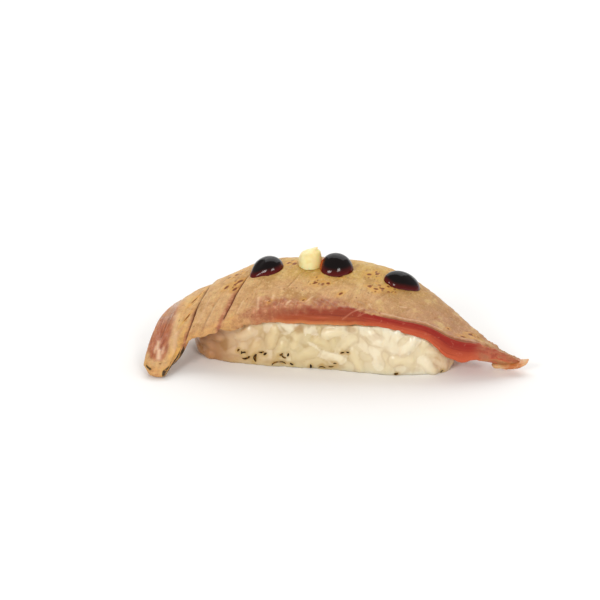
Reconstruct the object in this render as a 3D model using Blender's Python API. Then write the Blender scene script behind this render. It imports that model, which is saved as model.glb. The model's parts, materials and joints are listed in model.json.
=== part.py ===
# One piece of nigiri: a slice of seared fish draped over a pressed block of rice,
# with three drops of dark sauce and one bead of cream on its crown.
#
# Lengths are in metres. X runs along the rice block with the pointed end of the fish
# at +X and its hanging tongue at -X, -Y is the side with the cut red face, and Z is up.
# The origin is the middle of the flat underside of the rice.

import math

import bmesh
import bpy
import numpy as np
from mathutils import Euler, Matrix, Vector
from mathutils.bvhtree import BVHTree

# Rice block
RICE_LENGTH = 0.0574
RICE_WIDTH = 0.0242
RICE_CENTRE_X = -0.0003
# Height of the rice along the block where no fish presses it down: (x, height)
RICE_PROFILE = (
    (-0.0300, 0.0075),
    (-0.0240, 0.0110),
    (-0.0120, 0.0165),
    (0.0000, 0.0190),
    (0.0120, 0.0165),
    (0.0210, 0.0100),
    (0.0290, 0.0042),
)
# Share by which that height falls from the middle to the long sides
RICE_SHOULDER = 0.38
# Power of the outline seen from above: 2 is an ellipse, and more is closer to a rectangle
RICE_SQUARENESS = 3.6
RICE_FOOT_INSET = 0.0006
RICE_FOOT_HEIGHT = 0.0032
# The front swells out a little, right of the middle
RICE_BULGE = 0.0015
RICE_BULGE_X = 0.0150
RICE_BULGE_REACH = 0.0090
CORE_SIDES = 44
CORE_SIDE_RINGS = 4
CORE_TOP_RINGS = 8
CORE_SINK = 0.0015
PROBE_REACH = 0.0017
REST_GAP = 0.0003
# Heights that rays start from, below and above the whole piece
BELOW_ALL = -0.01
ABOVE_ALL = 0.05

# Rice grains
GRAIN_LENGTH = 0.0064
GRAIN_WIDTH = 0.0031
# A grain is thicker than an oval by that share, over that part of its half length
GRAIN_BLUNTNESS = 1.12
GRAIN_BLUNT_FROM = 0.3
GRAIN_BLUNT_TO = 0.9
GRAIN_SEGMENTS = 5
GRAIN_RINGS = 4
GRAIN_STANDOFF = 0.0003
GRAIN_PROUD = 0.0016
GRAIN_COLUMN = 0.0039
GRAIN_ROW = 0.0021
# Height of the lowest row's middle line, in grain radii
GRAIN_FOOT = 0.7
# Every other row is shifted by half a column
GRAIN_ROW_SHIFT = 0.25
GRAIN_JITTER = 0.0009
GRAIN_LIFT_JITTER = 0.00036
GRAIN_SPACING = 0.0034
GRAIN_SIZE_SPREAD = 0.13
GRAIN_TILT = math.radians(18)
GRAIN_TURN = math.radians(42)
GRAIN_CLEARANCE = 0.0005
# Distances from the core, in shares of GRAIN_PROUD, where the fish above is felt for
COLUMN_PROBES = (0.5, 1, 1.5, 2)
# Least upward share of a face's normal for the face to count as top
BARE_SLOPE = 0.3
# Ways a grain is laid till it clears the fish: (share of its turn, drop)
GRAIN_TRIES = ((1, 0), (0.5, 0), (0, 0), (0, 0.0007), (0, 0.0014), (0, 0.0021))
GRAIN_SEED = 7

# Slice of fish: each curve is (share of the length, x, y, z), left end first
RIDGE_LINE = (
    (0.00, -0.0355, -0.0034, 0.0092),
    (0.10, -0.0270, 0.0005, 0.0131),
    (0.25, -0.0160, 0.0020, 0.0184),
    (0.42, -0.0020, 0.0022, 0.0198),
    (0.60, 0.0126, 0.0018, 0.0180),
    (0.75, 0.0240, -0.0002, 0.0126),
    (0.82, 0.0290, -0.0028, 0.0095),
    (0.87, 0.0330, -0.0054, 0.0074),
    (0.95, 0.0395, -0.0076, 0.0038),
    (1.00, 0.0436, -0.0074, 0.0022),
)
FRONT_EDGE = (
    (0.000, -0.0382, -0.0182, 0.0024),
    (0.030, -0.0361, -0.0209, 0.0016),
    (0.060, -0.0332, -0.0204, 0.0015),
    (0.085, -0.0313, -0.0173, 0.0028),
    (0.115, -0.0294, -0.0146, 0.0062),
    (0.170, -0.0258, -0.0142, 0.0084),
    (0.230, -0.0210, -0.0135, 0.0106),
    (0.340, -0.0120, -0.0132, 0.0143),
    (0.450, -0.0030, -0.0132, 0.0151),
    (0.570, 0.0070, -0.0132, 0.0148),
    (0.660, 0.0145, -0.0132, 0.0134),
    (0.750, 0.0225, -0.0129, 0.0118),
    (0.830, 0.0285, -0.0124, 0.0089),
    (0.900, 0.0345, -0.0115, 0.0074),
    (0.960, 0.0398, -0.0096, 0.0046),
    (1.000, 0.0436, -0.0082, 0.0022),
)
BACK_EDGE = (
    (0.00, -0.0315, 0.0060, 0.0070),
    (0.10, -0.0230, 0.0115, 0.0086),
    (0.25, -0.0110, 0.0132, 0.0126),
    (0.45, 0.0030, 0.0132, 0.0140),
    (0.60, 0.0150, 0.0122, 0.0118),
    (0.75, 0.0250, 0.0070, 0.0083),
    (0.82, 0.0295, 0.0026, 0.0068),
    (0.87, 0.0333, -0.0010, 0.0052),
    (0.95, 0.0394, -0.0054, 0.0034),
    (1.00, 0.0436, -0.0066, 0.0021),
)
# (share of the length, height of the cut side)
SIDE_HEIGHT = (
    (0.00, 0.0014),
    (0.06, 0.0012),
    (0.12, 0.0012),
    (0.17, 0.0015),
    (0.23, 0.0023),
    (0.34, 0.0038),
    (0.50, 0.0046),
    (0.66, 0.0028),
    (0.75, 0.0036),
    (0.83, 0.0048),
    (0.90, 0.0037),
    (0.96, 0.0018),
    (1.00, 0.0008),
)
# Thickness along the middle, the back side's share of the cut side's height, and the shares
# of the middle thickness that are left at the two ends
SLICE_MIDDLE = 0.0038
BACK_SHARE = 0.55
SLICE_LEFT_TAPER = 0.20
SLICE_RIGHT_TAPER = 0.14
SLICE_LEFT_SHARE = 0.5
SLICE_RIGHT_SHARE = 0.22
# Power of the fall from the ridge to the edges: the higher it is, the flatter the crown
CROWN_POWER = 1.9
TONGUE_POWER = 2.4
TONGUE_END = 0.13
# Share of straight down in the direction in which the thickness is laid off
SLICE_LEAN = 0.5
SLICE_STATIONS = 46
SLICE_COLUMNS = 15
FLOOR_CLEARANCE = 0.0002
# Clefts between the flakes of flesh: (share of the length, depth, half width)
CLEFTS = (
    (0.042, 0.0007, 0.0090),
    (0.115, 0.0011, 0.0060),
    (0.230, 0.0009, 0.0055),
    (0.375, 0.0004, 0.0055),
)
# The next flake stands that much higher, and sinks back over that many half widths
FLAKE_STEP = 0.0004
FLAKE_REACH = 6
# Stations keep this far from a cleft's own, and one stands on its flank, in half widths
CLEFT_CLEAR = 1.4
CLEFT_FLANK = 0.35
# Clefts are deepest a little in front of the ridge and fade towards both edges
CLEFT_DEEPEST = -0.25
CLEFT_FADE = 1.15
# Leaf curled under the pointed end: rows are (x, y, z of its top, half width, thickness)
TIP_LEAF = (
    (0.0366, -0.0074, 0.0011, 0.0006, 0.0006),
    (0.0376, -0.0073, 0.0013, 0.0014, 0.0009),
    (0.0394, -0.0073, 0.0015, 0.0018, 0.0011),
    (0.0414, -0.0074, 0.0016, 0.0018, 0.0012),
    (0.0430, -0.0075, 0.0019, 0.0014, 0.0011),
    (0.0439, -0.0076, 0.0024, 0.0009, 0.0008),
    (0.0445, -0.0077, 0.0030, 0.0004, 0.0005),
)
LEAF_COLUMNS = 5
LEAF_EDGE_THINNING = 0.6

# Toppings: drops are (x, y, half length, half width, height, turn)
DROPS = {
    "sauce_drop_left": (-0.0133, -0.0013, 0.0037, 0.0031, 0.0018, 0.1),
    "sauce_drop_middle": (0.0020, -0.0007, 0.0035, 0.0033, 0.0024, 0.0),
    "sauce_drop_right": (0.0163, -0.0006, 0.0043, 0.0023, 0.0018, 0.3),
}
CREAM = (-0.0042, 0.0001, 0.0023, 0.0024, 0.0028, 0.0)
# The cream rises to a soft peak over that share of its radius
CREAM_PEAK = 0.0006
PEAK_SPREAD = 0.5
TOPPING_GAP = 0.0003
TOPPING_RIM = 0.0003
TOPPING_RINGS = 5
TOPPING_SIDES = 18
TOPPING_DOME = 2.4


def clear_scene():
    for item in list(bpy.data.objects):
        bpy.data.objects.remove(item, do_unlink=True)


def material(name, colour, roughness):
    made = bpy.data.materials.new(name)
    made.use_nodes = True
    shader = made.node_tree.nodes["Principled BSDF"]
    shader.inputs["Base Color"].default_value = (*colour, 1.0)
    shader.inputs["Roughness"].default_value = roughness
    shader.inputs["Metallic"].default_value = 0.0
    return made


def mesh_object(name, points, faces, finish):
    mesh = bpy.data.meshes.new(name)
    mesh.from_pydata([tuple(p) for p in points], [], faces)
    mesh.update()
    made = bpy.data.objects.new(name, mesh)
    bpy.context.scene.collection.objects.link(made)
    made.data.materials.append(finish)
    return made


def smooth_curve(rows, shares):
    """Values at the shares of a smooth curve through rows of (share, value, ...)."""
    table = np.array(rows, float)
    at, values = table[:, 0], table[:, 1:]
    slopes = np.gradient(values, at, axis=0)
    index = np.clip(np.searchsorted(at, shares, side="right") - 1, 0, len(at) - 2)
    step = (at[index + 1] - at[index])[:, None]
    t = ((shares - at[index]) / step[:, 0])[:, None]
    return (
        (2 * t**3 - 3 * t**2 + 1) * values[index]
        + (t**3 - 2 * t**2 + t) * step * slopes[index]
        + (3 * t**2 - 2 * t**3) * values[index + 1]
        + (t**3 - t**2) * step * slopes[index + 1]
    )


def slice_shares():
    """Stations along the slice, with four close together at each cleft."""
    shares = list(np.linspace(0, 1, SLICE_STATIONS))
    for at, _, half_width in CLEFTS:
        shares = [s for s in shares if abs(s - at) > CLEFT_CLEAR * half_width]
        shares += [at - half_width, at - CLEFT_FLANK * half_width, at, at + half_width]
    return np.array(sorted(shares))


def cleft_relief(shares):
    """Depth below the smooth surface: a cleft at each seam, then a low step up the next flake."""
    depth = np.zeros_like(shares)
    for at, deep, half_width in CLEFTS:
        away = np.abs(shares - at) / half_width
        depth += deep * np.clip(1 - away, 0, 1)
        step = FLAKE_STEP * np.clip(1 - away / FLAKE_REACH, 0, 1)
        depth -= np.where(shares > at, step, 0)
    return depth


def slice_top(shares, across):
    """Grid of points on the seared top: one row for each station, front edge first."""
    ridge = smooth_curve(RIDGE_LINE, shares)[:, None, :]
    front = smooth_curve(FRONT_EDGE, shares)[:, None, :]
    back = smooth_curve(BACK_EDGE, shares)[:, None, :]
    v = across[None, :, None]
    grid = ridge + (back - front) / 2 * v + (front + back - 2 * ridge) / 2 * v**2
    tongue = np.clip(1 - shares / TONGUE_END, 0, 1)[:, None]
    power = CROWN_POWER + (TONGUE_POWER - CROWN_POWER) * tongue
    reach = np.abs(across)[None, :] ** power
    edge = np.where(across[None, :] < 0, front[:, :, 2], back[:, :, 2])
    grid[:, :, 2] = ridge[:, :, 2] + (edge - ridge[:, :, 2]) * reach
    return grid


def up_normals(grid):
    along = np.gradient(grid, axis=0)
    over = np.gradient(grid, axis=1)
    normal = np.cross(along, over)
    return normal / np.linalg.norm(normal, axis=2, keepdims=True)


def slice_thickness(shares, across):
    side = smooth_curve(SIDE_HEIGHT, shares)
    left = np.clip(shares / SLICE_LEFT_TAPER, 0, 1)
    right = np.clip((1 - shares) / SLICE_RIGHT_TAPER, 0, 1)
    left = SLICE_LEFT_SHARE + (1 - SLICE_LEFT_SHARE) * np.sin(left * math.pi / 2)
    right = SLICE_RIGHT_SHARE + (1 - SLICE_RIGHT_SHARE) * np.sin(right * math.pi / 2)
    middle = (SLICE_MIDDLE * np.minimum(left, right))[:, None]
    edge = side * (1 - (1 - BACK_SHARE) * np.clip(across, 0, 1) ** 2)[None, :]
    return edge + (middle - edge) * (1 - across[None, :] ** 2)


def build_slice(finish):
    shares = slice_shares()
    across = np.sin(np.linspace(-1, 1, SLICE_COLUMNS) * math.pi / 2)
    smooth = slice_top(shares, across)
    normal = up_normals(smooth)
    fade = np.clip(CLEFT_FADE - np.abs(across - CLEFT_DEEPEST), 0, 1)[None, :, None]
    top = smooth - cleft_relief(shares)[:, None, None] * fade * normal
    lean = normal * (1 - SLICE_LEAN) + np.array([0, 0, SLICE_LEAN])
    lean /= np.linalg.norm(lean, axis=2, keepdims=True)
    under = smooth - lean * slice_thickness(shares, across)[:, :, None]
    under[:, :, 2] = np.maximum(under[:, :, 2], FLOOR_CLEARANCE)
    made = sheet_solid("fish_slice", top, under, finish)
    leaf = build_leaf(finish)
    join = made.modifiers.new("leaf", "BOOLEAN")
    join.operation = "UNION"
    join.object = leaf
    join.solver = "EXACT"
    apply_modifiers(made)
    bpy.data.objects.remove(leaf, do_unlink=True)
    face_outwards(made)
    return made


def build_leaf(finish):
    stations = np.array(TIP_LEAF)
    across = np.linspace(-1, 1, LEAF_COLUMNS)[None, :]
    top = np.zeros((len(stations), LEAF_COLUMNS, 3))
    top[:, :, 0] = stations[:, 0, None]
    top[:, :, 1] = stations[:, 1, None] + across * stations[:, 3, None]
    top[:, :, 2] = stations[:, 2, None]
    under = top.copy()
    under[:, :, 2] -= stations[:, 4, None] * (1 - LEAF_EDGE_THINNING * across**2)
    under[:, :, 2] = np.maximum(under[:, :, 2], FLOOR_CLEARANCE)
    return sheet_solid("leaf", top, under, finish)


def sheet_solid(name, top, under, finish):
    """Closed solid between two grids of points with the same rows and columns."""
    rows, columns = top.shape[:2]
    ring = np.concatenate([top, under[:, ::-1]], axis=1)
    size = 2 * columns
    faces = []
    for i in range(rows - 1):
        for j in range(size):
            k = (j + 1) % size
            faces.append((i * size + j, i * size + k, (i + 1) * size + k, (i + 1) * size + j))
    for i, turned in ((0, True), (rows - 1, False)):
        for j in range(columns - 1):
            face = [i * size + j, i * size + j + 1, i * size + size - 2 - j, i * size + size - 1 - j]
            faces.append(tuple(face[::-1]) if turned else tuple(face))
    made = mesh_object(name, ring.reshape(-1, 3), faces, finish)
    face_outwards(made)
    return made


def face_outwards(item):
    work = bmesh.new()
    work.from_mesh(item.data)
    bmesh.ops.triangulate(work, faces=work.faces)
    bmesh.ops.recalc_face_normals(work, faces=work.faces)
    work.to_mesh(item.data)
    work.free()


def solid_tree(item):
    return BVHTree.FromPolygons(
        [v.co for v in item.data.vertices], [tuple(p.vertices) for p in item.data.polygons]
    )


def plan_radius(angle, half_length, half_width):
    """Reach of the block's rounded oblong outline in one direction."""
    c, s = abs(math.cos(angle)), abs(math.sin(angle))
    n = RICE_SQUARENESS
    return ((c / half_length) ** n + (s / half_width) ** n) ** (-1 / n)


def core_outline():
    """Points round the core of the block, seen from above, with the swelling at its front."""
    half_length = RICE_LENGTH / 2 - GRAIN_PROUD
    half_width = RICE_WIDTH / 2 - GRAIN_PROUD
    points = []
    for i in range(CORE_SIDES):
        t = 2 * math.pi * i / CORE_SIDES
        angle = math.atan2(half_width * math.sin(t), half_length * math.cos(t))
        reach = plan_radius(angle, half_length, half_width)
        x = reach * math.cos(angle) + RICE_CENTRE_X
        y = reach * math.sin(angle)
        if y < 0:
            y -= RICE_BULGE * math.exp(-(((x - RICE_BULGE_X) / RICE_BULGE_REACH) ** 2))
        points.append(Vector((x, y, 0)))
    return points


def height_under_slice(fish, x, y):
    """Height of the rice at one place: its own profile, or just under the lowest fish nearby."""
    table = np.array(RICE_PROFILE)
    across = min(1, abs(y) / (RICE_WIDTH / 2))
    height = float(np.interp(x, table[:, 0], table[:, 1])) * (1 - RICE_SHOULDER * across**3)
    for dx in (-PROBE_REACH, 0, PROBE_REACH):
        for dy in (-PROBE_REACH, 0, PROBE_REACH):
            hit, _, _, _ = fish.ray_cast(Vector((x + dx, y + dy, BELOW_ALL)), Vector((0, 0, 1)))
            if hit:
                height = min(height, hit.z - REST_GAP)
    return height


def build_core(fish, finish):
    outline = core_outline()
    centre = Vector((RICE_CENTRE_X, 0, 0))
    points = [Vector((centre.x, centre.y, -CORE_SINK))]
    foot = 1 - RICE_FOOT_INSET / (RICE_WIDTH / 2)
    points += [Vector((*(centre + (p - centre) * foot).xy, -CORE_SINK)) for p in outline]
    for ring in range(CORE_SIDE_RINGS):
        share = ring / (CORE_SIDE_RINGS - 1)
        for p in outline:
            top = height_under_slice(fish, p.x, p.y)
            z = share * top
            inset = RICE_FOOT_INSET * max(0, 1 - z / RICE_FOOT_HEIGHT) ** 2
            at = centre + (p - centre) * (1 - inset / (RICE_WIDTH / 2))
            points.append(Vector((at.x, at.y, z)))
    for ring in range(1, CORE_TOP_RINGS):
        reach = 1 - ring / CORE_TOP_RINGS
        for p in outline:
            at = centre + (p - centre) * reach
            points.append(Vector((at.x, at.y, height_under_slice(fish, at.x, at.y))))
    points.append(Vector((centre.x, centre.y, height_under_slice(fish, centre.x, centre.y))))
    rings = 1 + CORE_SIDE_RINGS + CORE_TOP_RINGS - 1
    faces = []
    for i in range(CORE_SIDES):
        j = (i + 1) % CORE_SIDES
        faces.append((0, 1 + i, 1 + j))
        for ring in range(rings - 1):
            low, high = 1 + ring * CORE_SIDES, 1 + (ring + 1) * CORE_SIDES
            faces.append((low + i, low + j, high + j, high + i))
        last = 1 + (rings - 1) * CORE_SIDES
        faces.append((last + i, last + j, len(points) - 1))
    made = mesh_object("rice", points, faces, finish)
    face_outwards(made)
    return made


def grain_mesh():
    """A grain: an oval with blunt ends, its long way along X."""
    work = bmesh.new()
    bmesh.ops.create_uvsphere(work, u_segments=GRAIN_SEGMENTS, v_segments=GRAIN_RINGS, radius=1)
    bmesh.ops.rotate(work, verts=work.verts, matrix=Matrix.Rotation(math.pi / 2, 3, "Y"))
    for v in work.verts:
        blunt = GRAIN_BLUNTNESS if GRAIN_BLUNT_FROM < abs(v.co.x) < GRAIN_BLUNT_TO else 1
        v.co = Vector(
            (
                v.co.x * GRAIN_LENGTH / 2,
                v.co.y * blunt * GRAIN_WIDTH / 2,
                v.co.z * blunt * GRAIN_WIDTH / 2,
            )
        )
    mesh = bpy.data.meshes.new("grain")
    work.to_mesh(mesh)
    work.free()
    return mesh


def side_places(fish, random):
    """Spots in rows round the side of the core, as many rows as fit under the fish there."""
    outline = core_outline()
    lengths = [(outline[(i + 1) % CORE_SIDES] - p).length for i, p in enumerate(outline)]
    around = np.concatenate([[0], np.cumsum(lengths)])
    columns = round(around[-1] / GRAIN_COLUMN)
    radius = GRAIN_WIDTH / 2
    places = []
    for column in range(columns):
        along = (column + 0.5) * around[-1] / columns
        room = column_height(*place_on_outline(outline, around, along), fish)
        rows = max(1, 1 + round((room - 2 * radius) / GRAIN_ROW))
        for row in range(rows):
            share = row / max(1, rows - 1)
            shift = GRAIN_COLUMN * (GRAIN_ROW_SHIFT if row % 2 else -GRAIN_ROW_SHIFT)
            shift += random.uniform(-GRAIN_JITTER, GRAIN_JITTER)
            at, normal = place_on_outline(outline, around, (along + shift) % around[-1])
            at.z = radius * GRAIN_FOOT + share * max(0, room - radius * (1 + GRAIN_FOOT))
            at.z += random.uniform(-GRAIN_LIFT_JITTER, GRAIN_LIFT_JITTER)
            places.append((at, normal))
    return places


def place_on_outline(outline, around, along):
    i = min(int(np.searchsorted(around, along, side="right")) - 1, CORE_SIDES - 1)
    start, end = outline[i], outline[(i + 1) % CORE_SIDES]
    edge = end - start
    at = start + edge * (along - around[i]) / (around[i + 1] - around[i])
    return at, Vector((edge.y, -edge.x, 0)).normalized()


def column_height(at, normal, fish):
    """Room for grains at one place on the side: up to the fish, or to the rice's own height."""
    room = height_under_slice(fish, at.x, at.y)
    for out in COLUMN_PROBES:
        probe = at + normal * (GRAIN_PROUD * out)
        hit, _, _, _ = fish.ray_cast(Vector((probe.x, probe.y, BELOW_ALL)), Vector((0, 0, 1)))
        if hit:
            room = min(room, hit.z - GRAIN_CLEARANCE)
    return room


def top_places(core, fish, random):
    """Spots on the parts of the top that no fish covers."""
    mesh = core.data
    mesh.calc_loop_triangles()
    bare = []
    for triangle in mesh.loop_triangles:
        middle = sum((mesh.vertices[i].co for i in triangle.vertices), Vector()) / 3
        covered, _, _, _ = fish.ray_cast(middle, Vector((0, 0, 1)))
        if triangle.normal.z > BARE_SLOPE and not covered:
            bare.append((middle, triangle.normal.copy()))
    kept = []
    for pick in random.permutation(len(bare)):
        at, normal = bare[pick]
        if all((at - other).length > GRAIN_SPACING for other, _ in kept):
            kept.append((at, normal))
    return kept


def clear_of_fish(points, fish):
    for p in points:
        near, normal, _, far = fish.find_nearest(p)
        if near is None:
            continue
        if far < GRAIN_CLEARANCE or (p - near).dot(normal) < 0:
            return False
    return True


def grain_placement(at, normal, turn, tilt, size):
    """Lays a grain on the surface at that spot, turned in the surface and tipped a little out of it."""
    side = Vector((normal.y, -normal.x, 0)).normalized()
    frame = Matrix((side, normal.cross(side), normal)).transposed()
    turned = frame @ Euler((0, tilt, turn)).to_matrix()
    place = (turned @ Matrix.Scale(size, 3)).to_4x4()
    place.translation = at + normal * GRAIN_STANDOFF
    return place


def build_rice(fish_object, finish):
    fish = solid_tree(fish_object)
    core = build_core(fish, finish)
    random = np.random.default_rng(GRAIN_SEED)
    grains = bpy.data.collections.new("grains")
    bpy.context.scene.collection.children.link(grains)
    shape = grain_mesh()
    corners = [v.co.copy() for v in shape.vertices]
    for at, normal in side_places(fish, random) + top_places(core, fish, random):
        turn = random.normal(0, GRAIN_TURN)
        tilt = random.uniform(-GRAIN_TILT, GRAIN_TILT)
        size = 1 + random.uniform(-GRAIN_SIZE_SPREAD, GRAIN_SIZE_SPREAD)
        for share, drop in GRAIN_TRIES:
            place = grain_placement(at - Vector((0, 0, drop)), normal, turn * share, tilt * share, size)
            if clear_of_fish([place @ c for c in corners], fish):
                grain = bpy.data.objects.new("grain", shape)
                grain.matrix_world = place
                grains.objects.link(grain)
                break
    join_collection(core, grains)
    cut_flat(core)
    keep_one_body(core)
    return core


def join_collection(item, collection):
    union = item.modifiers.new("grains", "BOOLEAN")
    union.operation = "UNION"
    union.operand_type = "COLLECTION"
    union.collection = collection
    union.solver = "EXACT"
    apply_modifiers(item)
    for helper in list(collection.objects):
        bpy.data.objects.remove(helper, do_unlink=True)
    bpy.data.collections.remove(collection)


def keep_one_body(item):
    """Keeps the outer skin of the block and drops shut-in pockets and loose crumbs."""
    work = bmesh.new()
    work.from_mesh(item.data)
    left = set(work.faces)
    shells = []
    while left:
        shell = [left.pop()]
        for face in shell:
            near = {other for edge in face.edges for other in edge.link_faces}
            shell += near & left
            left -= near
        shells.append((sum(signed_volume(face) for face in shell), shell))
    shells.sort(key=lambda pair: pair[0])
    for _, shell in shells[:-1]:
        bmesh.ops.delete(work, geom=shell, context="FACES")
    work.to_mesh(item.data)
    work.free()


def signed_volume(face):
    first, *others = (v.co for v in face.verts)
    return sum(first.dot(b.cross(c)) for b, c in zip(others, others[1:]))


def cut_flat(item):
    """Cuts off all that lies below the table."""
    below = bpy.data.meshes.new("below")
    work = bmesh.new()
    bmesh.ops.create_cube(work, size=2 * RICE_LENGTH)
    bmesh.ops.translate(work, verts=work.verts, vec=(0, 0, -RICE_LENGTH))
    work.to_mesh(below)
    work.free()
    cutter = bpy.data.objects.new("below", below)
    bpy.context.scene.collection.objects.link(cutter)
    cut = item.modifiers.new("flat_underside", "BOOLEAN")
    cut.operation = "DIFFERENCE"
    cut.object = cutter
    cut.solver = "EXACT"
    apply_modifiers(item)
    bpy.data.objects.remove(cutter, do_unlink=True)


def apply_modifiers(item):
    bpy.context.view_layer.update()
    graph = bpy.context.evaluated_depsgraph_get()
    done = bpy.data.meshes.new_from_object(item.evaluated_get(graph))
    item.modifiers.clear()
    item.data = done


def topping(name, shape, fish, finish, peak=0.0):
    """A domed blob whose underside follows the fish: (x, y, half length, half width, height, turn)."""
    x0, y0, half_length, half_width, height, turn = shape
    bottom, top = [], []
    for ring in range(TOPPING_RINGS + 1):
        reach = math.sin(ring / TOPPING_RINGS * math.pi / 2)
        for side in range(TOPPING_SIDES if ring else 1):
            angle = 2 * math.pi * side / TOPPING_SIDES
            local = Vector((half_length * math.cos(angle), half_width * math.sin(angle))) * reach
            local.rotate(Matrix.Rotation(turn, 2))
            x, y = x0 + local.x, y0 + local.y
            hit, _, _, _ = fish.ray_cast(Vector((x, y, ABOVE_ALL)), Vector((0, 0, -1)))
            base = hit.z + TOPPING_GAP
            dome = (1 - reach**TOPPING_DOME) ** (1 / TOPPING_DOME)
            lift = TOPPING_RIM + height * dome + peak * max(0, 1 - reach / PEAK_SPREAD)
            bottom.append((x, y, base))
            top.append((x, y, base + lift))
    faces = []
    for offset in (0, len(bottom)):
        for side in range(TOPPING_SIDES):
            after = (side + 1) % TOPPING_SIDES
            faces.append((offset, offset + 1 + side, offset + 1 + after))
            for ring in range(TOPPING_RINGS - 1):
                low = offset + 1 + ring * TOPPING_SIDES
                high = low + TOPPING_SIDES
                faces.append((low + side, high + side, high + after, low + after))
    rim = 1 + (TOPPING_RINGS - 1) * TOPPING_SIDES
    for side in range(TOPPING_SIDES):
        after = (side + 1) % TOPPING_SIDES
        faces.append((rim + side, rim + after, len(bottom) + rim + after, len(bottom) + rim + side))
    made = mesh_object(name, bottom + top, faces, finish)
    face_outwards(made)
    return made


def main():
    clear_scene()
    seared = material("seared_fish", (0.62, 0.36, 0.19), 0.42)
    cooked_rice = material("cooked_rice", (0.80, 0.74, 0.58), 0.40)
    sauce = material("dark_sauce", (0.035, 0.006, 0.004), 0.08)
    cream = material("cream", (0.90, 0.76, 0.42), 0.35)
    fish = build_slice(seared)
    build_rice(fish, cooked_rice)
    tree = solid_tree(fish)
    for name, shape in DROPS.items():
        topping(name, shape, tree, sauce)
    topping("cream_bead", CREAM, tree, cream, CREAM_PEAK)


main()
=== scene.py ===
# Looks of one piece of nigiri: seared fish over pressed rice, with sauce drops and a cream bead.
# All lengths are in metres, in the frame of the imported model. -Y is the front.
import json
import math

import bmesh
import bpy
import numpy as np
from mathutils import Euler, Matrix, Vector
from mathutils.bvhtree import BVHTree
from mathutils.kdtree import KDTree

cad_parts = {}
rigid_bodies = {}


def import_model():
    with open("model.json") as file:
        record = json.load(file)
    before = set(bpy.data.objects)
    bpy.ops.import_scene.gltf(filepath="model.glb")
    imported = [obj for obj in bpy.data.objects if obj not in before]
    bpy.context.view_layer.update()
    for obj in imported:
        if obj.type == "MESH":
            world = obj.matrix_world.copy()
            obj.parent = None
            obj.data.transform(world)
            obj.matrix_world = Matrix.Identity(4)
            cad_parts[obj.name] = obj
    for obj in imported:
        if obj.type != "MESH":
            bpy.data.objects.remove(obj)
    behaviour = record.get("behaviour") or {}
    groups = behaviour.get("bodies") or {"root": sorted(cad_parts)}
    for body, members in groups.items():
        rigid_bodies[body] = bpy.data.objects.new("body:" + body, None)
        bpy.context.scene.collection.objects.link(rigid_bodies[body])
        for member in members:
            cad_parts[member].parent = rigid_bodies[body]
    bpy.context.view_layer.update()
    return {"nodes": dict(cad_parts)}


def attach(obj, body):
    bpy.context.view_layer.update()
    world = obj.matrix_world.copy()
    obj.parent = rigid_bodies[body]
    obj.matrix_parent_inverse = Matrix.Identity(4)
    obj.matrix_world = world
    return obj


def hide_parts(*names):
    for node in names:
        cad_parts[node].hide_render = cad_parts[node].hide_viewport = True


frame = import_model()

print("frame loaded:", ", ".join(sorted(frame["nodes"])))


# Camera, light and floor

view = {
    "elevation": 22.0,        # degrees above the table
    "azimuth": 7.0,           # degrees, the right end of the piece turned nearer
    "distance": 0.444,
    "lens": 120.0,            # mm on the sensor's width, also in mm
    "sensor": 36.0,
    "aimRight": -0.0062,      # from the origin to the middle of the picture
    "aimUp": 0.0107,
}
light = {  # where it hangs, its width and height, watts and tint
    "overBack": ((0.0, 0.32, 0.46), (0.80, 0.50), 2.05, (0.98, 0.99, 1.0)),
    "backdrop": ((0.0, 0.70, 0.16), (1.50, 0.30), 1.60, (0.98, 0.99, 1.0)),
    "keyLeft": ((-0.20, -0.46, 0.28), (0.17, 0.12), 1.00, (1.0, 0.985, 0.96)),
    "keyRight": ((0.22, -0.44, 0.29), (0.15, 0.11), 0.75, (1.0, 0.975, 0.94)),
}
surroundings = {"tint": (1.0, 0.985, 0.96), "strength": 0.50, "lightsAimAt": (0, 0, 0.012)}
floor = {
    "radius": 1.6,
    "level": -0.00003,
    "colour": (246, 245, 244),
    "shade": (244.4, 243.4, 242.4),
}


def inScene(name, data):
    holder = bpy.data.objects.new(name, data)
    bpy.context.scene.collection.objects.link(holder)
    return holder


def makeCamera():
    e, a = math.radians(view["elevation"]), math.radians(view["azimuth"])
    right = Vector((math.cos(a), math.sin(a), 0))
    ahead = Vector((-math.sin(a) * math.cos(e), math.cos(a) * math.cos(e), -math.sin(e)))
    aim = right * view["aimRight"] + right.cross(ahead) * view["aimUp"]
    lens = bpy.data.cameras.new("camera")
    lens.lens = view["lens"]
    lens.sensor_width = view["sensor"]
    lens.clip_start = 0.01
    camera = inScene("camera", lens)
    camera.location = aim - ahead * view["distance"]
    camera.rotation_euler = ahead.to_track_quat("-Z", "Y").to_euler()
    bpy.context.scene.camera = camera


def makeLights():
    for name, (at, size, watts, tint) in light.items():
        lamp = bpy.data.lights.new(name, "AREA")
        lamp.shape = "RECTANGLE"
        lamp.size, lamp.size_y = size
        lamp.energy = watts
        lamp.color = tint
        holder = inScene(name, lamp)
        holder.location = at
        toPiece = Vector(surroundings["lightsAimAt"]) - Vector(at)
        holder.rotation_euler = toPiece.to_track_quat("-Z", "Y").to_euler()
    world = bpy.data.worlds.new("surroundings")
    world.use_nodes = True
    sky = world.node_tree.nodes["Background"]
    sky.inputs["Color"].default_value = (*surroundings["tint"], 1)
    sky.inputs["Strength"].default_value = surroundings["strength"]
    bpy.context.scene.world = world
    bpy.context.scene.view_settings.view_transform = "Standard"


# Shader maths: a value is a socket with plain operators, a finish is one material

def linear(r, g, b):  # from the usual 0 to 255
    shares = [c / 255 for c in (r, g, b)]
    return tuple(c / 12.92 if c <= 0.04045 else ((c + 0.055) / 1.055) ** 2.4 for c in shares)


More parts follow.
